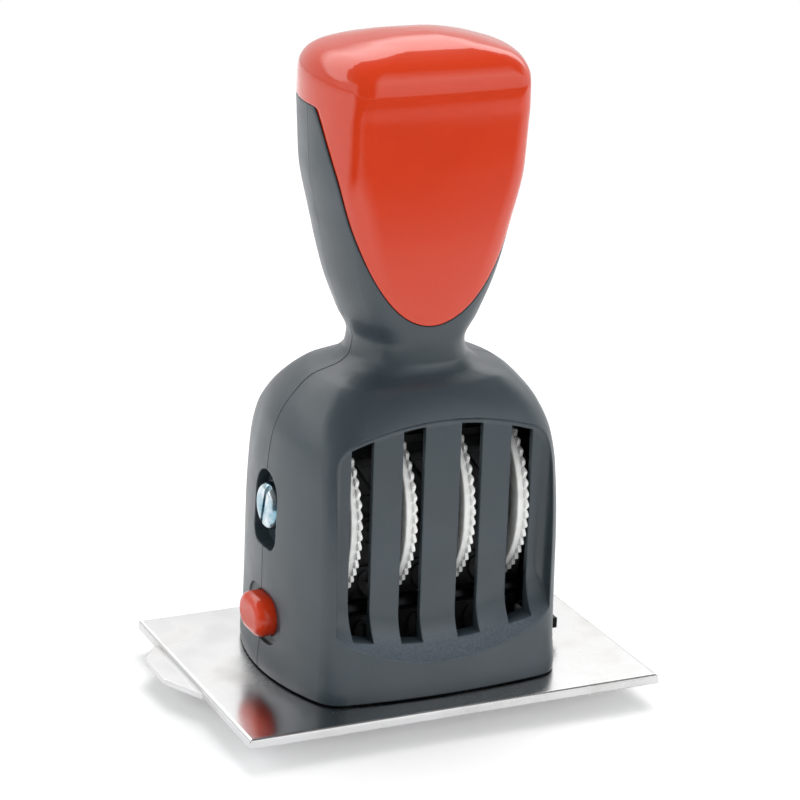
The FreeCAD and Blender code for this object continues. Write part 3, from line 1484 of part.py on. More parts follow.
hook_riser = block("hook_riser", (CATCH_OUTSIDE + " - catch_thick", "-catch_half", "0"),
                   (CATCH_OUTSIDE, "catch_half", "hook_foot + hook_thick"))
hook_tip = block("hook_tip", (CATCH_OUTSIDE + " - catch_thick", "-hook_half", "hook_foot"),
                 ("belt_half_wide + hook_proud", "hook_half", "hook_foot + hook_thick"))
piece(joined("plate_hook", [hook_riser, hook_tip]), "plate_hook")


doc.recompute()
faults = [item.Name for item in doc.Objects if {"Invalid", "Error"} & set(item.State)]
faults += [item.Label for item in PIECES if item.Shape.isNull() or not item.Shape.isValid()]
if faults:
    raise RuntimeError("These objects failed: " + ", ".join(faults))
os.makedirs("parts", exist_ok=True)
for item in PIECES:
    item.Shape.exportStep("parts/%s.step" % item.Label)
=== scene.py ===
"""Dresses the hand stamp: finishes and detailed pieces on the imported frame.

Lengths are in metres unless a name ends in _mm. The frame stands with +Z up the handle, +X to
the right of the person who holds the stamp, and -Y towards that person.
"""

import logging
import math
from dataclasses import dataclass
from enum import Enum
from typing import Any, Callable, ClassVar

import bmesh
import bpy
from mathutils import Matrix, Vector

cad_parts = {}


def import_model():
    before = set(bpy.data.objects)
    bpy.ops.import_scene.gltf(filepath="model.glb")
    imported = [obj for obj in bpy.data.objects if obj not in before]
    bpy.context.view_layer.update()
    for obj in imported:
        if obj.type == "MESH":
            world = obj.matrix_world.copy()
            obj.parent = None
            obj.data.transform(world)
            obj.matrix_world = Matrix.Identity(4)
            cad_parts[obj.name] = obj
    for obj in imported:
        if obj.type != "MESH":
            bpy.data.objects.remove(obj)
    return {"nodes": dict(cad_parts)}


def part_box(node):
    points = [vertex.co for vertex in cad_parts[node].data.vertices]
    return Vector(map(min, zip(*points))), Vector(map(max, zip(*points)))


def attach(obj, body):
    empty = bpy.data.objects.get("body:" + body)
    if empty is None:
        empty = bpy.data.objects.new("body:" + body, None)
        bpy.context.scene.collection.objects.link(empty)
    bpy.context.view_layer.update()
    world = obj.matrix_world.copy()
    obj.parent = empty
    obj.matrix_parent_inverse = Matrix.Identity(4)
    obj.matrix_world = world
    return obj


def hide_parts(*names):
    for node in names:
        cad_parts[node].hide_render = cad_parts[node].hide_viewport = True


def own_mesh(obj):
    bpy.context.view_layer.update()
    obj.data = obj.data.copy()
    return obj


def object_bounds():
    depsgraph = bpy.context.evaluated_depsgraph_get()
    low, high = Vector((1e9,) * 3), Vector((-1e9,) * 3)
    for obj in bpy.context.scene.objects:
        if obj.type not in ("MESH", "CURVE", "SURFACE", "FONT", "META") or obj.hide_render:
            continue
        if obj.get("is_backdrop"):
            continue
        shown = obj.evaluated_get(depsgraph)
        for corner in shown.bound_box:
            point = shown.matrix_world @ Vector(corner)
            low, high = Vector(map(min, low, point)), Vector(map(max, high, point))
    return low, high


logging.basicConfig(level=logging.INFO, format="%(message)s")
LOG = logging.getLogger("stamp")
MM = 0.001
# How far the table lies below the stamp, so that their faces don't coincide
TABLE_GAP_MM = 0.02
# Points nearer than this are one and the same, in metres
SAME_POINT = 1e-7
# A face whose unit normal goes further than this along an axis faces that way
NEARLY = 0.9
BEVEL_SAMPLES = 6
# The angle that a wave texture runs through over a length of one, in radians
WAVE_RADIANS = 20
WHITE = (1, 1, 1, 1)
Tree = bpy.types.NodeTree
Node = bpy.types.Node
Material = bpy.types.Material
Piece = bpy.types.Object
Span = tuple[float, float]
Place = tuple[float, float, float]


# Colours, sizes and nodes of materials

def linear(code: str) -> tuple[float, float, float, float]:
    """Turns an sRGB colour into the linear one that shaders use.

    Args:
        code: The colour as six hexadecimal digits after a hash.

    Returns:
        Linear red, green and blue, and an alpha of one.
    """
    shares = [int(code[i:i + 2], 16) / 255 for i in (1, 3, 5)]
    curve = [s / 12.92 if s <= 0.04045 else ((s + 0.055) / 1.055) ** 2.4 for s in shares]
    return (*curve, 1.0)


def per_metre(size_mm: float) -> float:
    """Gives a texture scale at which one feature measures size_mm on the object."""
    return 1000 / size_mm


def add(tree: Tree, kind: str, settings: dict[Any, Any] | None = None,
        links: dict[Any, Any] | None = None) -> Node:
    """Adds one node with its settings and links.

    Args:
        tree: The node tree that takes the node.
        kind: The node's type without its ShaderNode prefix.
        settings: Values for the node's own options, and for its inputs by name or number.
        links: For inputs by name or number, the outputs that feed them, or the nodes whose
            first output does.

    Returns:
        The new node.
    """
    node = tree.nodes.new("ShaderNode" + kind)
    for name, value in (settings or {}).items():
        if isinstance(name, str) and hasattr(node, name):
            setattr(node, name, value)
        else:
            node.inputs[name].default_value = value
    for name, source in (links or {}).items():
        output = source.outputs[0] if isinstance(source, Node) else source
        tree.links.new(output, node.inputs[name])
    return node


def between(span: Span) -> dict[str, float]:
    """Gives a MapRange node's settings for reading a span of values as 0 to 1."""
    return {"From Min": span[0], "From Max": span[1]}


def blank_material(name: str) -> tuple[Material, Tree, Any]:
    """Makes a material whose node tree gives the place on the piece and nothing else.

    Args:
        name: The material's name.

    Returns:
        The material, its node tree and the output that gives the place.
    """
    material = bpy.data.materials.new(name)
    material.use_nodes = True
    tree = material.node_tree
    tree.nodes.clear()
    return material, tree, add(tree, "TexCoord").outputs["Object"]


def round_edges(tree: Tree, edge_mm: float) -> Node:
    """Gives a normal that rounds the edges of a piece by edge_mm."""
    return add(tree, "Bevel", {"samples": BEVEL_SAMPLES, "Radius": edge_mm * MM})


def edge_share(tree: Tree, rounded: Node) -> Node:
    """Gives 1 where an edge is rounded and 0 on the flat.

    Args:
        tree: The node tree.
        rounded: The Bevel node that rounds the edges.

    Returns:
        The node whose output is the share of edge.
    """
    plain = add(tree, "NewGeometry").outputs["Normal"]
    likeness = add(tree, "VectorMath", {"operation": "DOT_PRODUCT"}, {0: plain, 1: rounded})
    return add(tree, "MapRange", {"From Min": 0.75, "From Max": 0.99, "To Min": 1.0,
                                  "To Max": 0.0}, {"Value": likeness.outputs["Value"]})


def finish_surface(tree: Tree, settings: dict[str, Any], colour: Node, rough: Node,
                   normal: Node) -> None:
    """Adds the surface shader and the output.

    Args:
        tree: The node tree.
        settings: Constant values of the shader's own sockets.
        colour: The Mix node that gives the colour.
        rough: The node that gives the roughness.
        normal: The node that gives the normal.
    """
    shader = add(tree, "BsdfPrincipled", settings, {
        "Base Color": colour.outputs[2], "Roughness": rough, "Normal": normal})
    add(tree, "OutputMaterial", links={"Surface": shader})


@dataclass(frozen=True)
class Clouds:
    """A cloudy pattern: the clouds' width, how finely they divide, and their contrast.

    The part of the noise that lies inside span is stretched to the pattern's whole range.
    """

    size_mm: float
    detail: float
    span: Span = (0.3, 0.7)

    def build(self, tree: Tree, where: Any, low: float = 0.0, high: float = 1.0) -> Node:
        """Adds the pattern to a material.

        Args:
            tree: The node tree.
            where: The output with the place on the piece.
            low: The value between the clouds.
            high: The value inside them.

        Returns:
            The node whose output is the pattern.
        """
        noise = add(tree, "TexNoise", {"Scale": per_metre(self.size_mm), "Detail": self.detail},
                    {"Vector": where})
        return add(tree, "MapRange", between(self.span) | {"To Min": low, "To Max": high},
                   {"Value": noise})


@dataclass(frozen=True)
class Relief:
    """An unevenness of a surface: its width, its depth and how finely it divides."""

    size_mm: float
    depth_mm: float
    detail: float = 3.0

    def build(self, tree: Tree, where: Any, normal: Node) -> Node:
        """Adds the unevenness to a material.

        Args:
            tree: The node tree.
            where: The output with the place on the piece.
            normal: The node whose output is the even surface's normal.

        Returns:
            The node whose output is the uneven surface's normal.
        """
        noise = add(tree, "TexNoise", {"Scale": per_metre(self.size_mm), "Detail": self.detail},
                    {"Vector": where})
        return add(tree, "Bump", {"Distance": self.depth_mm * MM},
                   {"Height": noise, "Normal": normal})


# Finishes

@dataclass(frozen=True)
class PaintedSheen:
    """Speckled painted sheen: a lighter grey laid outside a wall on the faces that look up."""

    colour: str
    top: float
    fade: float = 0.003
    # y from which it fades in, and where it lies in full
    outside: Span = (-0.0155, -0.0175)
    # How much of a face's normal points up where it starts, and where it lies in full
    upward: Span = (0.12, 0.6)
    specks: Clouds = Clouds(0.35, detail=1.0, span=(0.35, 0.65))
    between_specks: float = 0.6

    def build(self, tree: Tree, where: Any, colour: Any) -> Node:
        """Lays the painted sheen over a colour.

        Args:
            tree: The node tree.
            where: The output with the place on the piece.
            colour: The output that gives the colour beneath the sheen.

        Returns:
            The node that mixes the painted sheen in.
        """
        normal = add(tree, "SeparateXYZ", links={0: add(tree, "NewGeometry").outputs["Normal"]})
        place = add(tree, "SeparateXYZ", links={0: where})
        upward = add(tree, "MapRange", between(self.upward), {"Value": normal.outputs["Z"]})
        low = add(tree, "MapRange", between((self.top, self.top - self.fade)),
                  {"Value": place.outputs["Z"]})
        outside = add(tree, "MapRange", between(self.outside), {"Value": place.outputs["Y"]})
        share = upward
        for part in (low, outside, self.specks.build(tree, where, low=self.between_specks)):
            share = add(tree, "Math", {"operation": "MULTIPLY"}, {0: share, 1: part})
        return add(tree, "Mix", {"data_type": "RGBA", 7: linear(self.colour)},
                   {0: share, 6: colour})


@dataclass(frozen=True)
class MouldedPlastic:
    """ABS from a steel mould: a fine eroded or polished skin and slightly worn edges.

    The grain breaks up its highlights, the slow ripple is the sink of a thin wall, and rubbed
    edges show a lighter tone.
    """

    name: str
    colour: str
    shade: str
    edge: str
    roughness: float
    roughness_swing: float
    grain: Relief
    ripple: Relief | None = None
    edge_mm: float = 0.3
    ior: float = 1.5
    wear: float = 0.5
    least_wear_share: float = 0.2
    tones: Clouds = Clouds(14, detail=2.0)
    rubs: Clouds = Clouds(3.5, detail=2.0)
    smears: Clouds = Clouds(6, detail=4.0)
    # A painted sheen of lighter grey on the faces that look up, not dust
    dust: PaintedSheen | None = None

    def build(self) -> Material:
        """Makes the material.

        Returns:
            The material.
        """
        material, tree, where = blank_material(self.name)
        rounded = round_edges(tree, self.edge_mm)
        tone = add(tree, "Mix", {
            "data_type": "RGBA", 6: linear(self.colour), 7: linear(self.shade)},
            {0: self.tones.build(tree, where)})
        rubbed = self.rubs.build(tree, where, self.least_wear_share * self.wear, self.wear)
        worn = add(tree, "Math", {"operation": "MULTIPLY"},
                   {0: edge_share(tree, rounded), 1: rubbed})
        colour = add(tree, "Mix", {"data_type": "RGBA", 7: linear(self.edge)},
                     {0: worn, 6: tone.outputs[2]})
        # Lays the painted sheen on the faces that look up
        if self.dust:
            colour = self.dust.build(tree, where, colour.outputs[2])
        rough = self.smears.build(tree, where, self.roughness - self.roughness_swing,
                                  self.roughness + self.roughness_swing)
        normal = self.grain.build(tree, where, rounded)
        if self.ripple:
            normal = self.ripple.build(tree, where, normal)
        finish_surface(tree, {"IOR": self.ior}, colour, rough, normal)
        return material


@dataclass(frozen=True)
class RolledMetal:
    """Sheet or bar: a rolled or drawn grain along one axis, faint smudges and bright edges.

    The grain smears reflections along the rolling direction, and fingers leave duller clouds.
    """

    name: str
    colour: str
    smudge: str
    roughness: float
    grain_along_mm: float
    grain_across_mm: float = 0.15
    grain_axis: int = 0
    grain_depth_mm: float = 0.004
    grain_detail: float = 3.0
    # Share of the grain that joins the smudges in the roughness, and the sum's span
    grain_share: float = 0.5
    sum_span: Span = (0.2, 1.2)
    roughness_rise: float = 0.2
    wave: Relief | None = None
    edge_mm: float = 0.12
    smudges: Clouds = Clouds(11, detail=5.0, span=(0.42, 0.72))

    def build(self) -> Material:
        """Makes the material.

        Returns:
            The material.
        """
        material, tree, where = blank_material(self.name)
        cloud = self.smudges.build(tree, where)
        colour = add(tree, "Mix", {
            "data_type": "RGBA", 6: linear(self.colour), 7: linear(self.smudge)}, {0: cloud})
        squeeze = [1.0, 1.0, 1.0]
        squeeze[self.grain_axis] = self.grain_across_mm / self.grain_along_mm
        along = add(tree, "Mapping", {"Scale": squeeze}, {"Vector": where})
        grain = add(tree, "TexNoise", {"Scale": per_metre(self.grain_across_mm),
                                       "Detail": self.grain_detail}, {"Vector": along})
        both = add(tree, "Math", {"operation": "MULTIPLY_ADD", 1: self.grain_share},
                   {0: grain, 2: cloud})
        rough = add(tree, "MapRange", between(self.sum_span) | {
            "To Min": self.roughness, "To Max": self.roughness + self.roughness_rise},
            {"Value": both})
        normal = add(tree, "Bump", {"Distance": self.grain_depth_mm * MM},
                     {"Height": grain, "Normal": round_edges(tree, self.edge_mm)})
        if self.wave:
            normal = self.wave.build(tree, where, normal)
        finish_surface(tree, {"Metallic": 1.0}, colour, rough, normal)
        return material


@dataclass(frozen=True)
class TurnedMetal:
    """Bar turned in a lathe about the wheels' axis: fine rings that fan the light out.

    A plated one has a cool tint that drifts from place to place.
    """

    name: str
    colour: str
    tint: str
    axis_height: float
    roughness: float
    # How far the rings' wave runs while it turns through one radian
    ring_radian_mm: float
    ring_depth_mm: float
    ring_distortion: float = 0.6
    ring_detail: float = 2.0
    roughness_fall: float = 0.06
    roughness_rise: float = 0.08
    edge_mm: float = 0.15
    stains: Clouds = Clouds(2.6, detail=4.0, span=(0.35, 0.65))
    smears: Clouds = Clouds(1.2, detail=3.0)

    def build(self) -> Material:
        """Makes the material.

        Returns:
            The material.
        """
        material, tree, where = blank_material(self.name)
        centred = add(tree, "Mapping", {"Location": (0, 0, -self.axis_height)},
                      {"Vector": where})
        turned = add(tree, "Mapping", {"Rotation": (0, math.pi / 2, 0)}, {"Vector": centred})
        rings = add(tree, "TexWave", {
            "wave_type": "RINGS", "rings_direction": "Z",
            "Scale": per_metre(self.ring_radian_mm) / WAVE_RADIANS,
            "Distortion": self.ring_distortion, "Detail": self.ring_detail},
            {"Vector": turned})
        colour = add(tree, "Mix", {
            "data_type": "RGBA", 6: linear(self.colour), 7: linear(self.tint)},
            {0: self.stains.build(tree, where)})
        rough = self.smears.build(tree, where, self.roughness - self.roughness_fall,
                                  self.roughness + self.roughness_rise)
        normal = add(tree, "Bump", {"Distance": self.ring_depth_mm * MM},
                     {"Height": rings.outputs["Fac"],
                      "Normal": round_edges(tree, self.edge_mm)})
        finish_surface(tree, {"Metallic": 1.0}, colour, rough, normal)
        return material


@dataclass(frozen=True)
class InkedRubber:
    """Vulcanised rubber: dull and a little dusty, with ink dried in its pores."""

    name: str
    colour: str
    dust: str
    roughness: Span = (0.55, 0.75)
    ior: float = 1.52
    edge_mm: float = 0.12
    dusting: Clouds = Clouds(2.2, detail=4.0, span=(0.4, 0.75))
    smears: Clouds = Clouds(1.1, detail=2.0)
    pores: Relief = Relief(0.25, 0.02)

    def build(self) -> Material:
        """Makes the material.

        Returns:
            The material.
        """
        material, tree, where = blank_material(self.name)
        colour = add(tree, "Mix", {
            "data_type": "RGBA", 6: linear(self.colour), 7: linear(self.dust)},
            {0: self.dusting.build(tree, where)})
        rough = self.smears.build(tree, where, *self.roughness)
        normal = self.pores.build(tree, where, round_edges(tree, self.edge_mm))
        finish_surface(tree, {"IOR": self.ior}, colour, rough, normal)
        return material


@dataclass(frozen=True)
class WheelPlastic:
    """Acetal: waxy off-white, with a painted shade that greys it towards the axle."""

    name: str
    rim: str
    hub_shade: str
    axis_height: float
    rim_radius: float
    # Shares of the radius between which the painted shade of the middle gives way to the rim's
    # white
    unshaded: Span = (0.6, 0.97)
    mottle_swing: float = 0.1
    roughness: Span = (0.34, 0.48)
    ior: float = 1.48
    scatter: float = 0.15
    scatter_reach: Place = (0.0012, 0.0012, 0.001)
    edge_mm: float = 0.12
    mottles: Clouds = Clouds(1.6, detail=4.0)
    smears: Clouds = Clouds(1.5, detail=3.0)
    skin: Relief = Relief(0.3, 0.008, detail=2.0)

    def build(self) -> Material:
        """Makes the material.

        Returns:
            The material.
        """
        material, tree, where = blank_material(self.name)
        parts = add(tree, "SeparateXYZ", links={"Vector": where})
        flat = add(tree, "CombineXYZ", links={"Y": parts.outputs["Y"], "Z": parts.outputs["Z"]})
        reach = add(tree, "VectorMath", {"operation": "DISTANCE",
                                         1: (0, 0, self.axis_height)}, {0: flat})
        span = (self.rim_radius * self.unshaded[0], self.rim_radius * self.unshaded[1])
        unshaded = add(tree, "MapRange", between(span), {"Value": reach.outputs["Value"]})
        mottle = self.mottles.build(tree, where, -self.mottle_swing, self.mottle_swing)
        share = add(tree, "Math", {"operation": "ADD", "use_clamp": True},
                    {0: unshaded, 1: mottle})
        # Painted shade: grey towards the axle, white at the rim
        colour = add(tree, "Mix", {
            "data_type": "RGBA", 6: linear(self.hub_shade), 7: linear(self.rim)}, {0: share})
        rough = self.smears.build(tree, where, *self.roughness)
        normal = self.skin.build(tree, where, round_edges(tree, self.edge_mm))
        finish_surface(tree, {"IOR": self.ior, "Subsurface Weight": self.scatter,
                              "Subsurface Radius": self.scatter_reach, "Subsurface Scale": 1},
                       colour, rough, normal)
        return material


class Finish(Enum):
    """The finishes that the stamp's pieces share."""

    HOUSING = "housing"
    COVER = "cover"
    BUTTON = "button"
    WHEEL = "wheel"
    PLATE = "plate"
    HOOK = "hook"
    FRAME = "frame"
    AXLE = "axle"
    ROD = "rod"
    ANVIL = "anvil"
    SCREW = "screw"
    SPRING = "spring"
    RUBBER = "rubber"
    SEPARATOR = "separator"


def build_finishes(axis_height: float, rim_radius: float) -> dict[Finish, Material]:
    """Makes each finish once.

    Args:
        axis_height: Height of the wheels' axis.
        rim_radius: Radius of the wheels at their teeth.

    Returns:
        The materials by finish.
    """
    return {
        # Satin from an eroded mould: soft broad highlights, with light lips at its edges, and a
        # painted sheen of lighter grey low on its faces that look up
        Finish.HOUSING: MouldedPlastic(
            "satin_abs_slate", "#303A40", "#343F46", "#56626B", 0.36,
            roughness_swing=0.05, grain=Relief(0.35, 0.02),
            edge_mm=0.4, ior=1.6, wear=0.35, dust=PaintedSheen("#59636B", top=0.018)).build(),
        # Polished mould: the room stands crisp in it, over a warm orange red
        Finish.COVER: MouldedPlastic(
            "gloss_abs_orange_red", "#CD3810", "#C9350F", "#DE5236", 0.07,
            roughness_swing=0.015, grain=Relief(0.5, 0.0004),
            ripple=Relief(14.0, 0.004, detail=1.0), ior=1.6).build(),
        # The same plastic, rubbed duller by fingers and rounded all over
        Finish.BUTTON: MouldedPlastic(
            "gloss_abs_button", "#CE3912", "#C83511", "#E0563A", 0.16,
            roughness_swing=0.03, grain=Relief(0.4, 0.001),
            ripple=Relief(4.0, 0.004, detail=1.0), edge_mm=0.5).build(),
        # Dull black between the bands, which hardly shows more than its edges
        Finish.SEPARATOR: MouldedPlastic(
            "satin_abs_black", "#1A1C1E", "#202325", "#3A3E41", 0.5,
            roughness_swing=0.06, grain=Relief(0.2, 0.01)).build(),
        # Light soaks into its thin teeth, so that their shades stay soft
        # Its grey towards the axle is a painted shade
        Finish.WHEEL: WheelPlastic(
            "acetal_off_white", "#EDEEEC", "#6F7271", axis_height, rim_radius).build(),
        # Dark grey rather than black, with paler dust on the raised figures
        Finish.RUBBER: InkedRubber("vulcanised_rubber", "#232426", "#3A3B3D").build(),
        # Bright sheet: it mirrors the housing, slightly drawn out and wavy
        Finish.PLATE: RolledMetal(
            "bright_nickel_sheet", "#D9D9DA", "#C6C5C3", 0.16, grain_along_mm=9.0,
            grain_across_mm=0.12, grain_depth_mm=0.0008, wave=Relief(16, 0.006, detail=1.0),
            edge_mm=0.25).build(),
        # Blackened and oiled: a dark hook with a dull sheen
        Finish.HOOK: RolledMetal(
            "blackened_steel", "#2A2B2D", "#1F2021", 0.32, grain_along_mm=2.0).build(),
        # The same on drawn rod: one thin line of light along it
        Finish.ROD: RolledMetal(
            "blackened_rod", "#2A2B2D", "#1F2021", 0.3, grain_along_mm=3.0).build(),
        # Zinc on punched sheet: a grey that is blurred upwards
        Finish.FRAME: RolledMetal(
            "zinc_plated_sheet", "#B9BDC0", "#A5A9AC", 0.25, grain_along_mm=4.0,
            grain_axis=2, roughness_rise=0.22).build(),
        # Extruded bar: pale, with streaks along its length
        Finish.ANVIL: RolledMetal(
            "extruded_aluminium", "#C9CACC", "#B5B6B8", 0.3, grain_along_mm=8.0,
            grain_across_mm=0.1, grain_depth_mm=0.005).build(),
        # Drawn spring wire and strip: darker than the frame and smoother
        Finish.SPRING: RolledMetal(
            "spring_steel", "#9A9B9D", "#858688", 0.25, grain_along_mm=5.0,
            grain_across_mm=0.1, grain_axis=2, grain_depth_mm=0.003).build(),
        # Bright from the lathe: the rings spread each highlight into a fan
        Finish.AXLE: TurnedMetal(
            "turned_steel", "#B4B4B4", "#9C9D9E", axis_height, 0.28,
            ring_radian_mm=0.25, ring_depth_mm=0.004).build(),
        # Zinc with a clear blue passivation: cool patches on the screw's head
        Finish.SCREW: TurnedMetal(
            "zinc_plated_screw", "#D2DCE0", "#7FA7B8", axis_height, 0.2,
            ring_radian_mm=0.3, ring_depth_mm=0.006).build(),
    }


# Mesh helpers

class Part(Enum):
    """What is selected of a mesh, as Blender calls it."""

    POINTS = "VERT"
    FACES = "FACE"


def deselect() -> None:
    """Clears the selection, which loading the frame and adding a shape both leave full."""
    if bpy.context.object and bpy.context.object.mode != "OBJECT":
        bpy.ops.object.mode_set(mode="OBJECT")
    bpy.ops.object.select_all(action="DESELECT")


def activate(piece: Piece) -> None:
    """Selects one object alone and makes it the active one.

    Args:
        piece: The object.
    """
    deselect()
    piece.select_set(True)
    bpy.context.view_layer.objects.active = piece


def apply_place(piece: Piece) -> None:
    """Moves an object's place, turn and size into its mesh."""
    activate(piece)
    bpy.ops.object.transform_apply(location=True, rotation=True, scale=True)


def paint(piece: Piece, material: Material) -> None:
    """Gives a piece one finish in all its material slots."""
    piece.data.materials.clear()
    piece.data.materials.append(material)


def select(piece: Piece, part: Part, wanted: Callable[[Any], bool]) -> None:
    """Opens a mesh for editing with the wanted parts selected.

    Args:
        piece: The mesh object.
        part: Whether points or faces are selected.
        wanted: Says of a point or a face whether it is wanted.
    """
    activate(piece)
    bpy.ops.object.mode_set(mode="EDIT")
    bpy.ops.mesh.select_mode(type=part.value)
    mesh = bmesh.from_edit_mesh(piece.data)
    for item in mesh.verts if part is Part.POINTS else mesh.faces:
        item.select = wanted(item)
    mesh.select_flush_mode()
    bmesh.update_edit_mesh(piece.data)


def face_outwards(piece: Piece) -> None:
    """Merges a mesh's doubled points and turns its faces outwards.

    Args:
        piece: The mesh object.
    """
    select(piece, Part.POINTS, lambda point: True)
    bpy.ops.mesh.remove_doubles(threshold=SAME_POINT)
    bpy.ops.mesh.normals_make_consistent(inside=False)
    bpy.ops.object.mode_set(mode="OBJECT")


def bar(name: str, radius: float, reach: Span, height: float, sides: int) -> Piece:
    """Adds a solid bar along x.

    Args:
        name: The object's name.
        radius: The bar's radius.
        reach: Where it starts and ends along x.
        height: The height of its axis.
        sides: How many sides it has.

    Returns:
        The bar, as the active object with its place in its mesh.
    """
    deselect()
    bpy.ops.mesh.primitive_cylinder_add(
        vertices=sides, radius=radius, depth=reach[1] - reach[0],
        location=((reach[0] + reach[1]) / 2, 0, height), rotation=(0, math.pi / 2, 0))
    piece = bpy.context.object
    piece.name = name
    apply_place(piece)
    return piece


def cut(piece: Piece, tool: Piece, operation: str) -> None:
    """Joins a tool to a piece or cuts it out of the piece, and takes the tool away.

    Args:
        piece: The mesh object that is changed.
        tool: The mesh object that changes it.
        operation: The Boolean modifier's operation.
    """
    activate(piece)
    change = piece.modifiers.new("change", "BOOLEAN")
    change.operation = operation
    change.solver = "EXACT"
    change.object = tool
    bpy.ops.object.modifier_apply(modifier=change.name)
    bpy.data.objects.remove(tool)


def smooth(piece: Piece, degrees: float) -> None:
    """Smooths a piece's shading across edges that turn less than an angle."""
    activate(piece)
    bpy.ops.object.shade_smooth_by_angle(angle=math.radians(degrees))


def join(piece: Piece, others: list[Piece]) -> None:
    """Makes other meshes part of a piece.

    Args:
        piece: The mesh object that takes them.
        others: The mesh objects that it takes.
    """
    activate(piece)
    for other in others:
        other.select_set(True)
    bpy.ops.object.join()


# Studio

@dataclass(frozen=True)
class Viewpoint:
    """The camera, at the place from which the photograph was taken."""

    azimuth_deg: float = 25.05
    elevation_deg: float = 18.64
    roll_deg: float = 1.87
    distance: float = 0.470
    aim: Place = (-0.0005, 0.0, 0.04775)
    focal_px: float = 2988.6
    frame_px: float = 800.0
    sensor_mm: float = 36.0
    nearest: float = 0.05
    farthest: float = 20

    def build(self) -> None:
        """Makes the camera and looks through it."""
        turn, rise = math.radians(self.azimuth_deg), math.radians(self.elevation_deg)
        back = Vector((-math.sin(turn) * math.cos(rise), -math.cos(turn) * math.cos(rise),
                       math.sin(rise)))
        right = Vector((math.cos(turn), -math.sin(turn), 0))
        right = Matrix.Rotation(math.radians(self.roll_deg), 3, back) @ right
        basis = Matrix((right, back.cross(right), back)).transposed().to_4x4()
        data = bpy.data.cameras.new("camera")
        data.sensor_width = self.sensor_mm
        data.lens = self.focal_px * self.sensor_mm / self.frame_px
        data.clip_start = self.nearest
        data.clip_end = self.farthest
        camera = bpy.data.objects.new("camera", data)
        camera.matrix_world = Matrix.Translation(Vector(self.aim) + back * self.distance) @ basis
        bpy.context.scene.collection.objects.link(camera)
        bpy.context.scene.camera = camera


@dataclass(frozen=True)
class Softbox:
    """A square lamp with a diffuser."""

    name: str
    spot: Place
    watts: float
    side: float = 0.8
    aim: Place = (0, 0, 0.05)

    def build(self) -> None:
        """Hangs the lamp so that it faces the stamp and doesn't show in reflections."""
        data = bpy.data.lights.new(self.name, "AREA")
        data.shape = "SQUARE"
        data.size = self.side
        data.energy = self.watts
        lamp = bpy.data.objects.new(self.name, data)
        lamp.location = self.spot
        away = Vector(self.spot) - Vector(self.aim)
        lamp.rotation_euler = away.to_track_quat("Z", "Y").to_euler()
        lamp.visible_glossy = False
        bpy.context.scene.collection.objects.link(lamp)


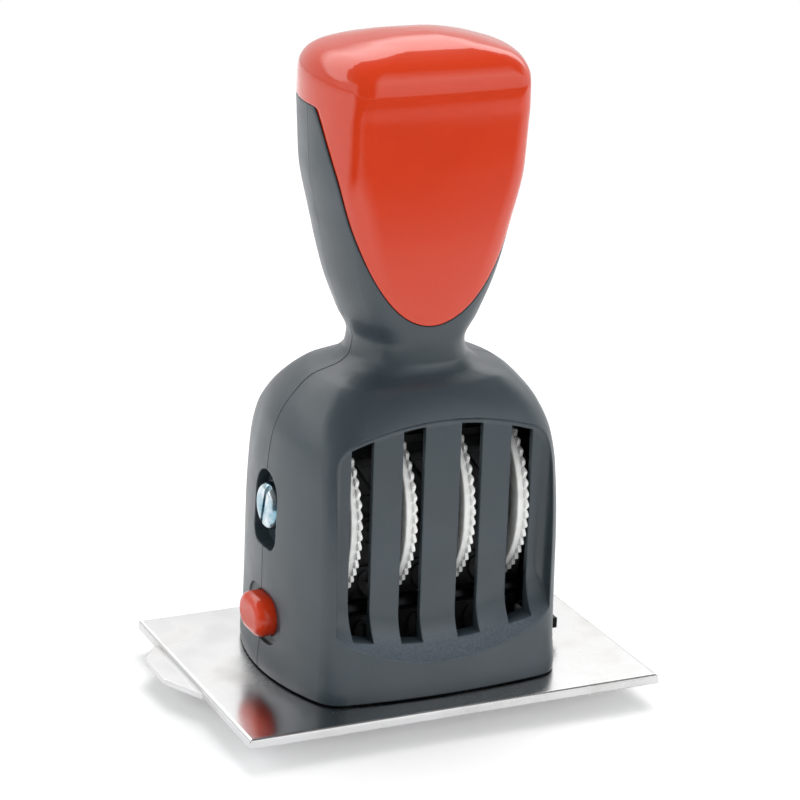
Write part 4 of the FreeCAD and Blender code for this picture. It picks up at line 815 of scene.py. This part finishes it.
@dataclass(frozen=True)
class Studio:
    """A pale table in a white room, with soft lamps above and beside it.

    The room is white behind the table and along its horizon. Overhead and on the side of the
    person who holds the stamp its cloth hangs in shade, which only reflections show.
    """

    floor_height: float
    table_side: float = 6.0
    paper: str = "#F4F5F5"
    fibre: str = "#F4F4F5"
    fibre_mm: float = 120
    fibre_detail: float = 2.0
    # The table's own light for the camera and reflections, and in its dark part
    glow: float = 0.16
    shade_glow: float = 0.12
    # x and y between which reflections of the table darken to the left, to the front and
    # towards the camera, and the share that the last can reach
    dark_left: Span = (-0.13, -0.2)
    dark_front: Span = (0.05, -0.06)
    dark_near: Span = (-0.1, -0.22)
    dark_near_share: float = 0.92
    # Distance from the stamp over which the table gives way to plain white for the camera
    horizon: Span = (0.25, 0.55)
    # Brightness of the room as light, and of its white sides in reflections
    room: float = 0.5
    side_white: float = 1.1
    # Parts of a direction: x at the sides, y behind the front, and x where the left cloth
    # gives way to the right one
    side_span: Span = (0.82, 0.94)
    behind_span: Span = (-0.35, -0.1)
    right_span: Span = (-0.05, 0.25)
    lamps: tuple[Softbox, ...] = (
        Softbox("top_lamp", (0.25, 0.35, 1.1), 8.0),
        Softbox("left_lamp", (-1.0, 0.0, 0.6), 4.5),
        Softbox("front_lamp", (0.55, -1.05, 0.45), 6.0),
    )
    # Shade of the cloth by its angle round the table's long axis, as shares of a half turn
    # from the horizon at the back over the zenith to the horizon at the front
    cloth_right: tuple[Span, ...] = (
        (0.0, 0.85), (0.14, 0.85), (0.18, 2.5), (0.30, 2.5), (0.304, 0.5), (0.42, 0.3),
        (0.56, 0.22), (0.66, 0.20), (0.78, 1.5), (1.0, 1.0),
    )
    cloth_left: tuple[Span, ...] = (
        (0.0, 0.85), (0.14, 0.85), (0.18, 2.5), (0.30, 2.5), (0.304, 0.45), (0.42, 0.25),
        (0.56, 0.18), (1.0, 0.14),
    )

    def build(self) -> None:
        """Makes the room, the table and the lamps."""
        self.build_room()
        self.build_table()
        for lamp in self.lamps:
            lamp.build()
        bpy.context.scene.view_settings.view_transform = "Standard"

    @staticmethod
    def hang_cloth(tree: Tree, share: Node, stops: tuple[Span, ...]) -> Node:
        """Gives the brightness of the cloth round the table.

        Args:
            tree: The world's node tree.
            share: The angle round the table as a share of a half turn.
            stops: Pairs of such a share and the cloth's brightness there.

        Returns:
            The node whose output is the brightness.
        """
        cloth = add(tree, "ValToRGB", links={0: share})
        marks = cloth.color_ramp.elements
        marks.remove(marks[1])
        marks[0].position, marks[0].color = stops[0][0], (*[stops[0][1]] * 3, 1)
        for spot, level in stops[1:]:
            marks.new(spot).color = (level, level, level, 1)
        return cloth

    def build_room(self) -> None:
        """Makes the room: even light, white for the camera and with cloth in reflections."""
        world = bpy.data.worlds.new("white_room")
        bpy.context.scene.world = world
        world.use_nodes = True
        tree = world.node_tree
        tree.nodes.clear()
        parts = add(tree, "SeparateXYZ", links={0: add(tree, "TexCoord").outputs["Generated"]})
        angle = add(tree, "Math", {"operation": "ARCTAN2"},
                    {0: parts.outputs["Z"], 1: parts.outputs["Y"]})
        share = add(tree, "Math", {"operation": "DIVIDE", 1: math.pi}, {0: angle})
        towards_right = add(tree, "MapRange", between(self.right_span),
                            {"Value": parts.outputs["X"]})
        cloth = add(tree, "Mix", {"data_type": "RGBA"},
                    {0: towards_right, 6: self.hang_cloth(tree, share, self.cloth_left),
                     7: self.hang_cloth(tree, share, self.cloth_right)})
        sideways = add(tree, "Math", {"operation": "ABSOLUTE"}, {0: parts.outputs["X"]})
        sideways = add(tree, "MapRange", between(self.side_span)
                       | {"interpolation_type": "SMOOTHSTEP"}, {"Value": sideways})
        behind = add(tree, "MapRange", between(self.behind_span),
                     {"Value": parts.outputs["Y"]})
        beside = add(tree, "Math", {"operation": "MULTIPLY"}, {0: sideways, 1: behind})
        shown = add(tree, "Mix", {"data_type": "RGBA", 7: (self.side_white,) * 3 + (1,)},
                    {0: beside, 6: cloth.outputs[2]})
        path = add(tree, "LightPath")
        mirrored = add(tree, "Math", {"operation": "ADD", "use_clamp": True},
                       {0: path.outputs["Is Glossy Ray"], 1: path.outputs["Is Transmission Ray"]})
        lit = add(tree, "Mix", {"data_type": "RGBA", 6: (self.room,) * 3 + (1,)},
                  {0: mirrored, 7: shown.outputs[2]})
        seen = add(tree, "Mix", {"data_type": "RGBA", 7: WHITE},
                   {0: path.outputs["Is Camera Ray"], 6: lit.outputs[2]})
        room = add(tree, "Background", {"Strength": 1.0}, {"Color": seen.outputs[2]})
        add(tree, "OutputWorld", links={"Surface": room})

    def build_table(self) -> None:
        """Makes the table top, which keeps the stamp's shadow."""
        deselect()
        bpy.ops.mesh.primitive_plane_add(size=self.table_side,
                                         location=(0, 0, self.floor_height))
        table = bpy.context.object
        table.name = "table"
        apply_place(table)
        # Matt paper: a wide soft shadow and no highlight, with a faint cloud of fibre
        material, tree, where = blank_material("matt_paper")
        fibre = add(tree, "TexNoise", {"Scale": per_metre(self.fibre_mm),
                                       "Detail": self.fibre_detail}, {"Vector": where})
        tone = add(tree, "Mix", {
            "data_type": "RGBA", 6: linear(self.paper), 7: linear(self.fibre)}, {0: fibre})
        paper = add(tree, "BsdfDiffuse", links={"Color": tone.outputs[2]})
        path = add(tree, "LightPath")
        seen = add(tree, "Math", {"operation": "ADD", "use_clamp": True},
                   {0: path.outputs["Is Camera Ray"], 1: path.outputs["Is Glossy Ray"]})
        level = add(tree, "MapRange", {"To Max": self.glow}, {"Value": seen})
        glow = add(tree, "Emission", {"Color": WHITE}, {"Strength": level})
        both = add(tree, "AddShader", links={0: paper, 1: glow})
        spot = add(tree, "SeparateXYZ", links={0: where})
        leftwards = add(tree, "MapRange", between(self.dark_left),
                        {"Value": spot.outputs["X"]})
        forwards = add(tree, "MapRange", between(self.dark_front),
                       {"Value": spot.outputs["Y"]})
        corner = add(tree, "Math", {"operation": "MULTIPLY"}, {0: leftwards, 1: forwards})
        near = add(tree, "MapRange",
                   between(self.dark_near) | {"To Max": self.dark_near_share},
                   {"Value": spot.outputs["Y"]})
        corner = add(tree, "Math", {"operation": "MAXIMUM"}, {0: corner, 1: near})
        corner = add(tree, "Math", {"operation": "MULTIPLY"},
                     {0: corner, 1: path.outputs["Is Glossy Ray"]})
        shade = add(tree, "Emission", {"Color": WHITE, "Strength": self.shade_glow})
        shown = add(tree, "MixShader", links={0: corner, 1: both, 2: shade})
        reach = add(tree, "VectorMath", {"operation": "LENGTH"}, {0: where})
        far = add(tree, "MapRange", between(self.horizon), {"Value": reach.outputs["Value"]})
        far = add(tree, "Math", {"operation": "MULTIPLY"},
                  {0: far, 1: path.outputs["Is Camera Ray"]})
        backdrop = add(tree, "Emission", {"Color": WHITE, "Strength": 1.0})
        shown = add(tree, "MixShader", links={0: far, 1: shown, 2: backdrop})
        add(tree, "OutputMaterial", links={"Surface": shown})
        table.data.materials.append(material)
        table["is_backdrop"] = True


# Sub-assemblies

@dataclass
class SubAssembly:
    """Pieces that are made, dressed and reported together.

    Its coats say which finish each of its CAD nodes gets.
    """

    coats: ClassVar[dict[str, Finish]] = {}
    nodes: dict[str, Piece]
    finishes: dict[Finish, Material]

    def dress(self) -> None:
        """Gives each CAD node its finish."""
        for name, finish in self.coats.items():
            paint(self.nodes[name], self.finishes[finish])
            LOG.info("%s wears %s", name, self.finishes[finish].name)

    def build(self) -> None:
        """Makes and dresses the pieces."""
        self.dress()


@dataclass
class Housing(SubAssembly):
    """The two dark shells, the pins that join them and the bright cover of the handle."""

    coats = {"front_shell": Finish.HOUSING, "rear_shell": Finish.HOUSING,
             "handle_cover": Finish.COVER, "shell_pins": Finish.AXLE}
    tongue_height: float = 0.0592
    tongue_half_wide: float = 0.0055
    tongue_thick: float = 0.001
    tongue_tall: float = 0.015
    tongue_taper: float = 0.9
    tongue_round: float = 0.00025

    def build(self) -> None:
        """Dresses the shells and makes the tongue that closes their seam in the neck."""
        self.dress()
        deselect()
        bpy.ops.mesh.primitive_cube_add(size=1, location=(0, 0, self.tongue_height))
        tongue = bpy.context.object
        tongue.name = "seam_tongue"
        tongue.scale = (2 * self.tongue_half_wide, self.tongue_thick, self.tongue_tall)
        apply_place(tongue)
        select(tongue, Part.FACES, lambda face: face.normal.z > NEARLY)
        bpy.ops.transform.resize(value=(self.tongue_taper, 1, 1))
        select(tongue, Part.FACES, lambda face: True)
        bpy.ops.mesh.bevel(offset=self.tongue_round, segments=2)
        bpy.ops.object.mode_set(mode="OBJECT")
        paint(tongue, self.finishes[Finish.HOUSING])
        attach(tongue, "housing")
        LOG.info("seam_tongue: closes the seam inside the neck")


@dataclass
class SettingWheels(SubAssembly):
    """The four wheels: a smooth flank, a narrow toothed rim on its right and a drum.

    The drum carries the band, and its bore runs on the axle.
    """

    axis: float = 0.0328
    middles: tuple[float, ...] = (-0.0142, -0.00495, 0.00495, 0.0142)
    drums: tuple[float, ...] = (0.0072, 0.0072, 0.0072, 0.0024)
    teeth: int = 56
    tip: float = 0.0158
    # Radius of a tooth's outline at each sixth of its pitch, as a share of its height
    outline: tuple[float, ...] = (0.0, 0.42, 0.86, 1.0, 0.86, 0.42)
    tooth_tall: float = 0.00075
    tooth_wide: float = 0.00055
    half_thick: float = 0.0008
    flank_sides: int = 168
    flank_tooth_share: float = 0.95
    flank_sunk: float = 0.0002
    flank_round: float = 0.00025
    flank_segments: int = 4
    dish_margin: float = 0.0022
    dish_depth: float = 0.0003
    drum_radius: float = 0.008
    drum_sides: int = 96
    bore_radius: float = 0.00255
    bore_sides: int = 64
    # Where the bar that cuts the bore starts and ends, well clear of each wheel
    bore_reach: Span = (-0.01, 0.02)
    smooth_degrees: float = 32

    def build_rim(self) -> Piece:
        """Makes the toothed rim from a bar whose sides are drawn in and out.

        Returns:
            The rim, about the wheels' axis and with its middle on x = 0.
        """
        steps = len(self.outline)
        rim = bar("rim", self.tip, (self.half_thick - self.tooth_wide, self.half_thick),
                  self.axis, self.teeth * steps)
        for step, share in enumerate(self.outline):
            radius = self.tip - self.tooth_tall * (1 - share)
            select(rim, Part.POINTS, lambda point: round(
                math.atan2(point.co.z - self.axis, point.co.y) / (2 * math.pi)
                * self.teeth * steps) % steps == step)
            bpy.ops.transform.resize(value=(1, radius / self.tip, radius / self.tip),
                                     center_override=(0, 0, self.axis))
        bpy.ops.object.mode_set(mode="OBJECT")
        return rim

    def build_flank(self) -> Piece:
        """Makes the smooth disc beside the teeth, with a rounded edge and a dished face.

        Returns:
            The disc, about the wheels' axis and with its dish towards -x.
        """
        radius = self.tip - self.tooth_tall * self.flank_tooth_share
        flank = bar("flank", radius, (-self.half_thick, self.half_thick - self.flank_sunk),
                    self.axis, self.flank_sides)
        select(flank, Part.FACES, lambda face: face.normal.x < -NEARLY)
        bpy.ops.mesh.bevel(offset=self.flank_round, segments=self.flank_segments)
        # Of the disc's left side and its new round edge, the flat part alone
        select(flank, Part.FACES, lambda face: face.normal.x < -0.99)
        bpy.ops.mesh.inset(thickness=self.dish_margin)
        bpy.ops.mesh.inset(thickness=self.dish_depth)
        bpy.ops.transform.translate(value=(self.dish_depth, 0, 0))
        bpy.ops.object.mode_set(mode="OBJECT")
        return flank

    def build(self) -> None:
        """Makes one rim, and from its copies the four wheels."""
        disc = self.build_rim()
        cut(disc, self.build_flank(), "UNION")
        for number, (middle, drum) in enumerate(zip(self.middles, self.drums), 1):
            name = "wheel_%d" % number
            wheel = disc.copy()
            wheel.data = disc.data.copy()
            wheel.name = "setting_" + name
            bpy.context.scene.collection.objects.link(wheel)
            cut(wheel, bar("drum", self.drum_radius, (0, self.half_thick + drum), self.axis,
                           self.drum_sides), "UNION")
            cut(wheel, bar("bore", self.bore_radius, self.bore_reach, self.axis,
                           self.bore_sides), "DIFFERENCE")
            wheel.data.transform(Matrix.Translation((middle, 0, 0)))
            smooth(wheel, self.smooth_degrees)
            paint(wheel, self.finishes[Finish.WHEEL])
            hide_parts(name)
            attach(wheel, name)
            LOG.info("%s: toothed rim, flank and drum", wheel.name)
        bpy.data.objects.remove(disc)


@dataclass
class NumberBands(SubAssembly):
    """The four bands: each pad carries one raised figure, mirror-wise as a stamp needs it.

    A pad's face is lowered by the figure's depth, so that the figure ends where the pad did.
    """

    figures: str = "0123456789"
    sides: tuple[Span, ...] = (
        (-0.0132, -0.0064), (-0.00395, 0.00285), (0.00595, 0.01275), (0.0152, 0.0172))
    pads: int = 12
    pad_long: float = 0.0056
    figure_deep: float = 0.0005
    figure_tall: float = 0.0044
    figure_wide_share: float = 0.8
    # The loop's outer face: an arc of the foot, a straight rise and an arc of the drum
    foot_across: float = 0.0037
    foot_up: float = 0.004
    foot_radius: float = 0.0028
    drum_up: float = 0.0328
    drum_radius: float = 0.0093
    pad_tall: float = 0.0012
    # How far a point may lie from a pad's face and beyond its ends and still belong to it
    margin: float = 0.0001
    doubled_within: float = 1e-6
    curve_steps: int = 4

    def places(self) -> list[Place]:
        """Finds the pads' places round the loop.

        Returns:
            For each pad, the y and z of its foot's middle and the angle that it faces.
        """
        small, large = self.foot_radius, self.drum_radius
        rise_up = self.drum_up - self.foot_up
        apart = math.hypot(self.foot_across, rise_up)
        lean = math.atan2(rise_up, -self.foot_across) - math.acos((small - large) / apart)
        flat, bend = self.foot_across, small * (math.pi / 2 + lean)
        rise = math.sqrt(apart ** 2 - (large - small) ** 2)
        half_loop = flat + bend + rise + large * (math.pi / 2 - lean)
        found = []
        for number in range(self.pads):
            run = 2 * half_loop * number / self.pads
            sign = 1 if run <= half_loop else -1
            run = min(run, 2 * half_loop - run)
            if run < flat:
                across, up, angle = run, self.foot_up - small, -math.pi / 2
            elif run < flat + bend + rise:
                angle = min((run - flat) / small - math.pi / 2, lean)
                along = max(run - flat - bend, 0)
                across = flat + small * math.cos(angle) - along * math.sin(angle)
                up = self.foot_up + small * math.sin(angle) + along * math.cos(angle)
            else:
                angle = lean + (run - flat - bend - rise) / large
                across, up = large * math.cos(angle), self.drum_up + large * math.sin(angle)
            found.append((sign * across, up, angle if sign > 0 else math.pi - angle))
        return found

    def build_figure(self, text: str, wide: float) -> Piece:
        """Makes one figure as a mirror image that faces +z, centred on the origin.

        Args:
            text: The figure.
            wide: The room for it across the band.

        Returns:
            The figure as a mesh that stands figure_deep and a root high.
        """
        deselect()
        bpy.ops.object.text_add()
        figure = bpy.context.object
        figure.data.body = text
        # Half a unit to each side makes a figure that is one unit thick
        figure.data.extrude = 0.5
        figure.data.resolution_u = self.curve_steps
        bpy.ops.object.convert(target="MESH")
        figure = bpy.context.object
        xs = [point.co.x for point in figure.data.vertices]
        ys = [point.co.y for point in figure.data.vertices]
        size = Vector((max(xs) - min(xs), max(ys) - min(ys), 1))
        middle = Vector(((max(xs) + min(xs)) / 2, (max(ys) + min(ys)) / 2, 0))
        across = min(wide, self.figure_tall * size.x / size.y)
        figure.data.transform(Matrix.Diagonal((-across / size.x, self.figure_tall / size.y,
                                               2 * self.figure_deep, 1))
                              @ Matrix.Translation(-middle))
        face_outwards(figure)
        return figure

    def build(self) -> None:
        """Lowers each band's pads and stands a figure on each of them."""
        for number, (left, right) in enumerate(self.sides, 1):
            node = self.nodes["band_%d" % number]
            band = node.copy()
            band.data = node.data.copy()
            band.name = "numbered_band_%d" % number
            band.parent = None
            # The copy is a new piece, so it keeps none of the node's marks
            for key in list(band.keys()):
                del band[key]
            bpy.context.scene.collection.objects.link(band)
            select(band, Part.POINTS, lambda point: True)
            bpy.ops.mesh.remove_doubles(threshold=self.doubled_within)
            figures = []
            for order, (across, up, angle) in enumerate(self.places()):
                foot = Vector((0, across, up))
                outward = Vector((0, math.cos(angle), math.sin(angle)))
                along = Vector((0, -math.sin(angle), math.cos(angle)))
                select(band, Part.POINTS, lambda point: (
                    abs((point.co - foot).dot(outward) - self.pad_tall) < self.margin
                    and abs((point.co - foot).dot(along)) < self.pad_long / 2 + self.margin))
                bpy.ops.transform.translate(value=-outward * self.figure_deep)
                figure = self.build_figure(self.figures[order % len(self.figures)],
                                           (right - left) * self.figure_wide_share)
                middle = foot + outward * (self.pad_tall - self.figure_deep)
                middle.x = (left + right) / 2
                turn = Matrix((Vector((1, 0, 0)), outward.cross(Vector((1, 0, 0))), outward))
                figure.data.transform(Matrix.Translation(middle)
                                      @ turn.transposed().to_4x4())
                figures.append(figure)
            join(band, figures)
            paint(band, self.finishes[Finish.RUBBER])
            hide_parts("band_%d" % number)
            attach(band, "band_unit")
            LOG.info("%s: %d pads with figures", band.name, self.pads)


@dataclass
class Carrier(SubAssembly):
    """The frame between the shells that holds the wheels' axle and the bands' feet."""

    coats = {"side_plate_left": Finish.FRAME, "side_plate_right": Finish.FRAME,
             "wheel_axle": Finish.AXLE, "axle_bush": Finish.AXLE, "spacer_rings": Finish.AXLE,
             "cross_rods": Finish.ROD, "anvil": Finish.ANVIL,
             "band_separators": Finish.SEPARATOR, "detent_spring": Finish.SPRING}


@dataclass
class LockScrews(SubAssembly):
    """The two screws that hold the band unit at its height, with their washers."""

    coats = {name + hand: Finish.SCREW for name in ("lock_screw_", "washer_")
             for hand in ("left", "right")}


@dataclass
class ReleaseButton(SubAssembly):
    """The button that frees the text plate, and its spring.

    A softly domed cap covers the flat-faced one of the solid.
    """

    coats = {"release_button": Finish.BUTTON, "button_spring": Finish.SPRING}
    height: float = 0.0149
    radius: float = 0.00318
    half_run: float = 0.0014
    sides: int = 64
    tall: float = 0.0034
    dome: float = 0.0015
    dome_segments: int = 10
    smooth_degrees: float = 60
    # How far the cap stands off the solid's face
    skin: float = 0.00008
    travel: float = 0.0014

    def build(self) -> None:
        """Dresses the button and its spring and makes the domed cap."""
        self.dress()
        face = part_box("release_button")[0].x - self.skin
        cap = bar("button_cap", self.radius, (face, face + self.tall), self.height, self.sides)
        for side in (-1, 1):
            select(cap, Part.POINTS, lambda point: point.co.y * side > SAME_POINT)
            bpy.ops.transform.translate(value=(0, side * self.half_run, 0))
        select(cap, Part.FACES, lambda face: face.normal.x < -NEARLY)
        bpy.ops.mesh.bevel(offset=self.dome, segments=self.dome_segments, profile=0.5)
        face_outwards(cap)
        smooth(cap, self.smooth_degrees)
        paint(cap, self.finishes[Finish.BUTTON])
        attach(cap, "release_button")
        LOG.info("button_cap: domed over the solid's cap")
        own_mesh(self.nodes["button_spring"])
        LOG.info("button_spring: shortens as the button goes in")


@dataclass
class TextPlate(SubAssembly):
    """The sheet that carries the text, and the hook it swings on."""

    coats = {"text_plate": Finish.PLATE, "plate_hook": Finish.HOOK}


# The whole scene

def corners(box: tuple[Vector, Vector]) -> list[list[float]]:
    """Turns a box into plain lists of numbers."""
    return [list(corner) for corner in box]


def main() -> None:
    """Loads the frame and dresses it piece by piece."""
    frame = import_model()
    cad_box = corners(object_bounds())
    low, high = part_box("wheel_2")
    finishes = build_finishes((low.z + high.z) / 2, (high.z - low.z) / 2)
    for kind in (Housing, SettingWheels, NumberBands, Carrier, LockScrews, ReleaseButton,
                 TextPlate):
        kind(frame["nodes"], finishes).build()
    Viewpoint().build()
    Studio(cad_box[0][2] - TABLE_GAP_MM * MM).build()


if __name__ == "__main__":
    main()
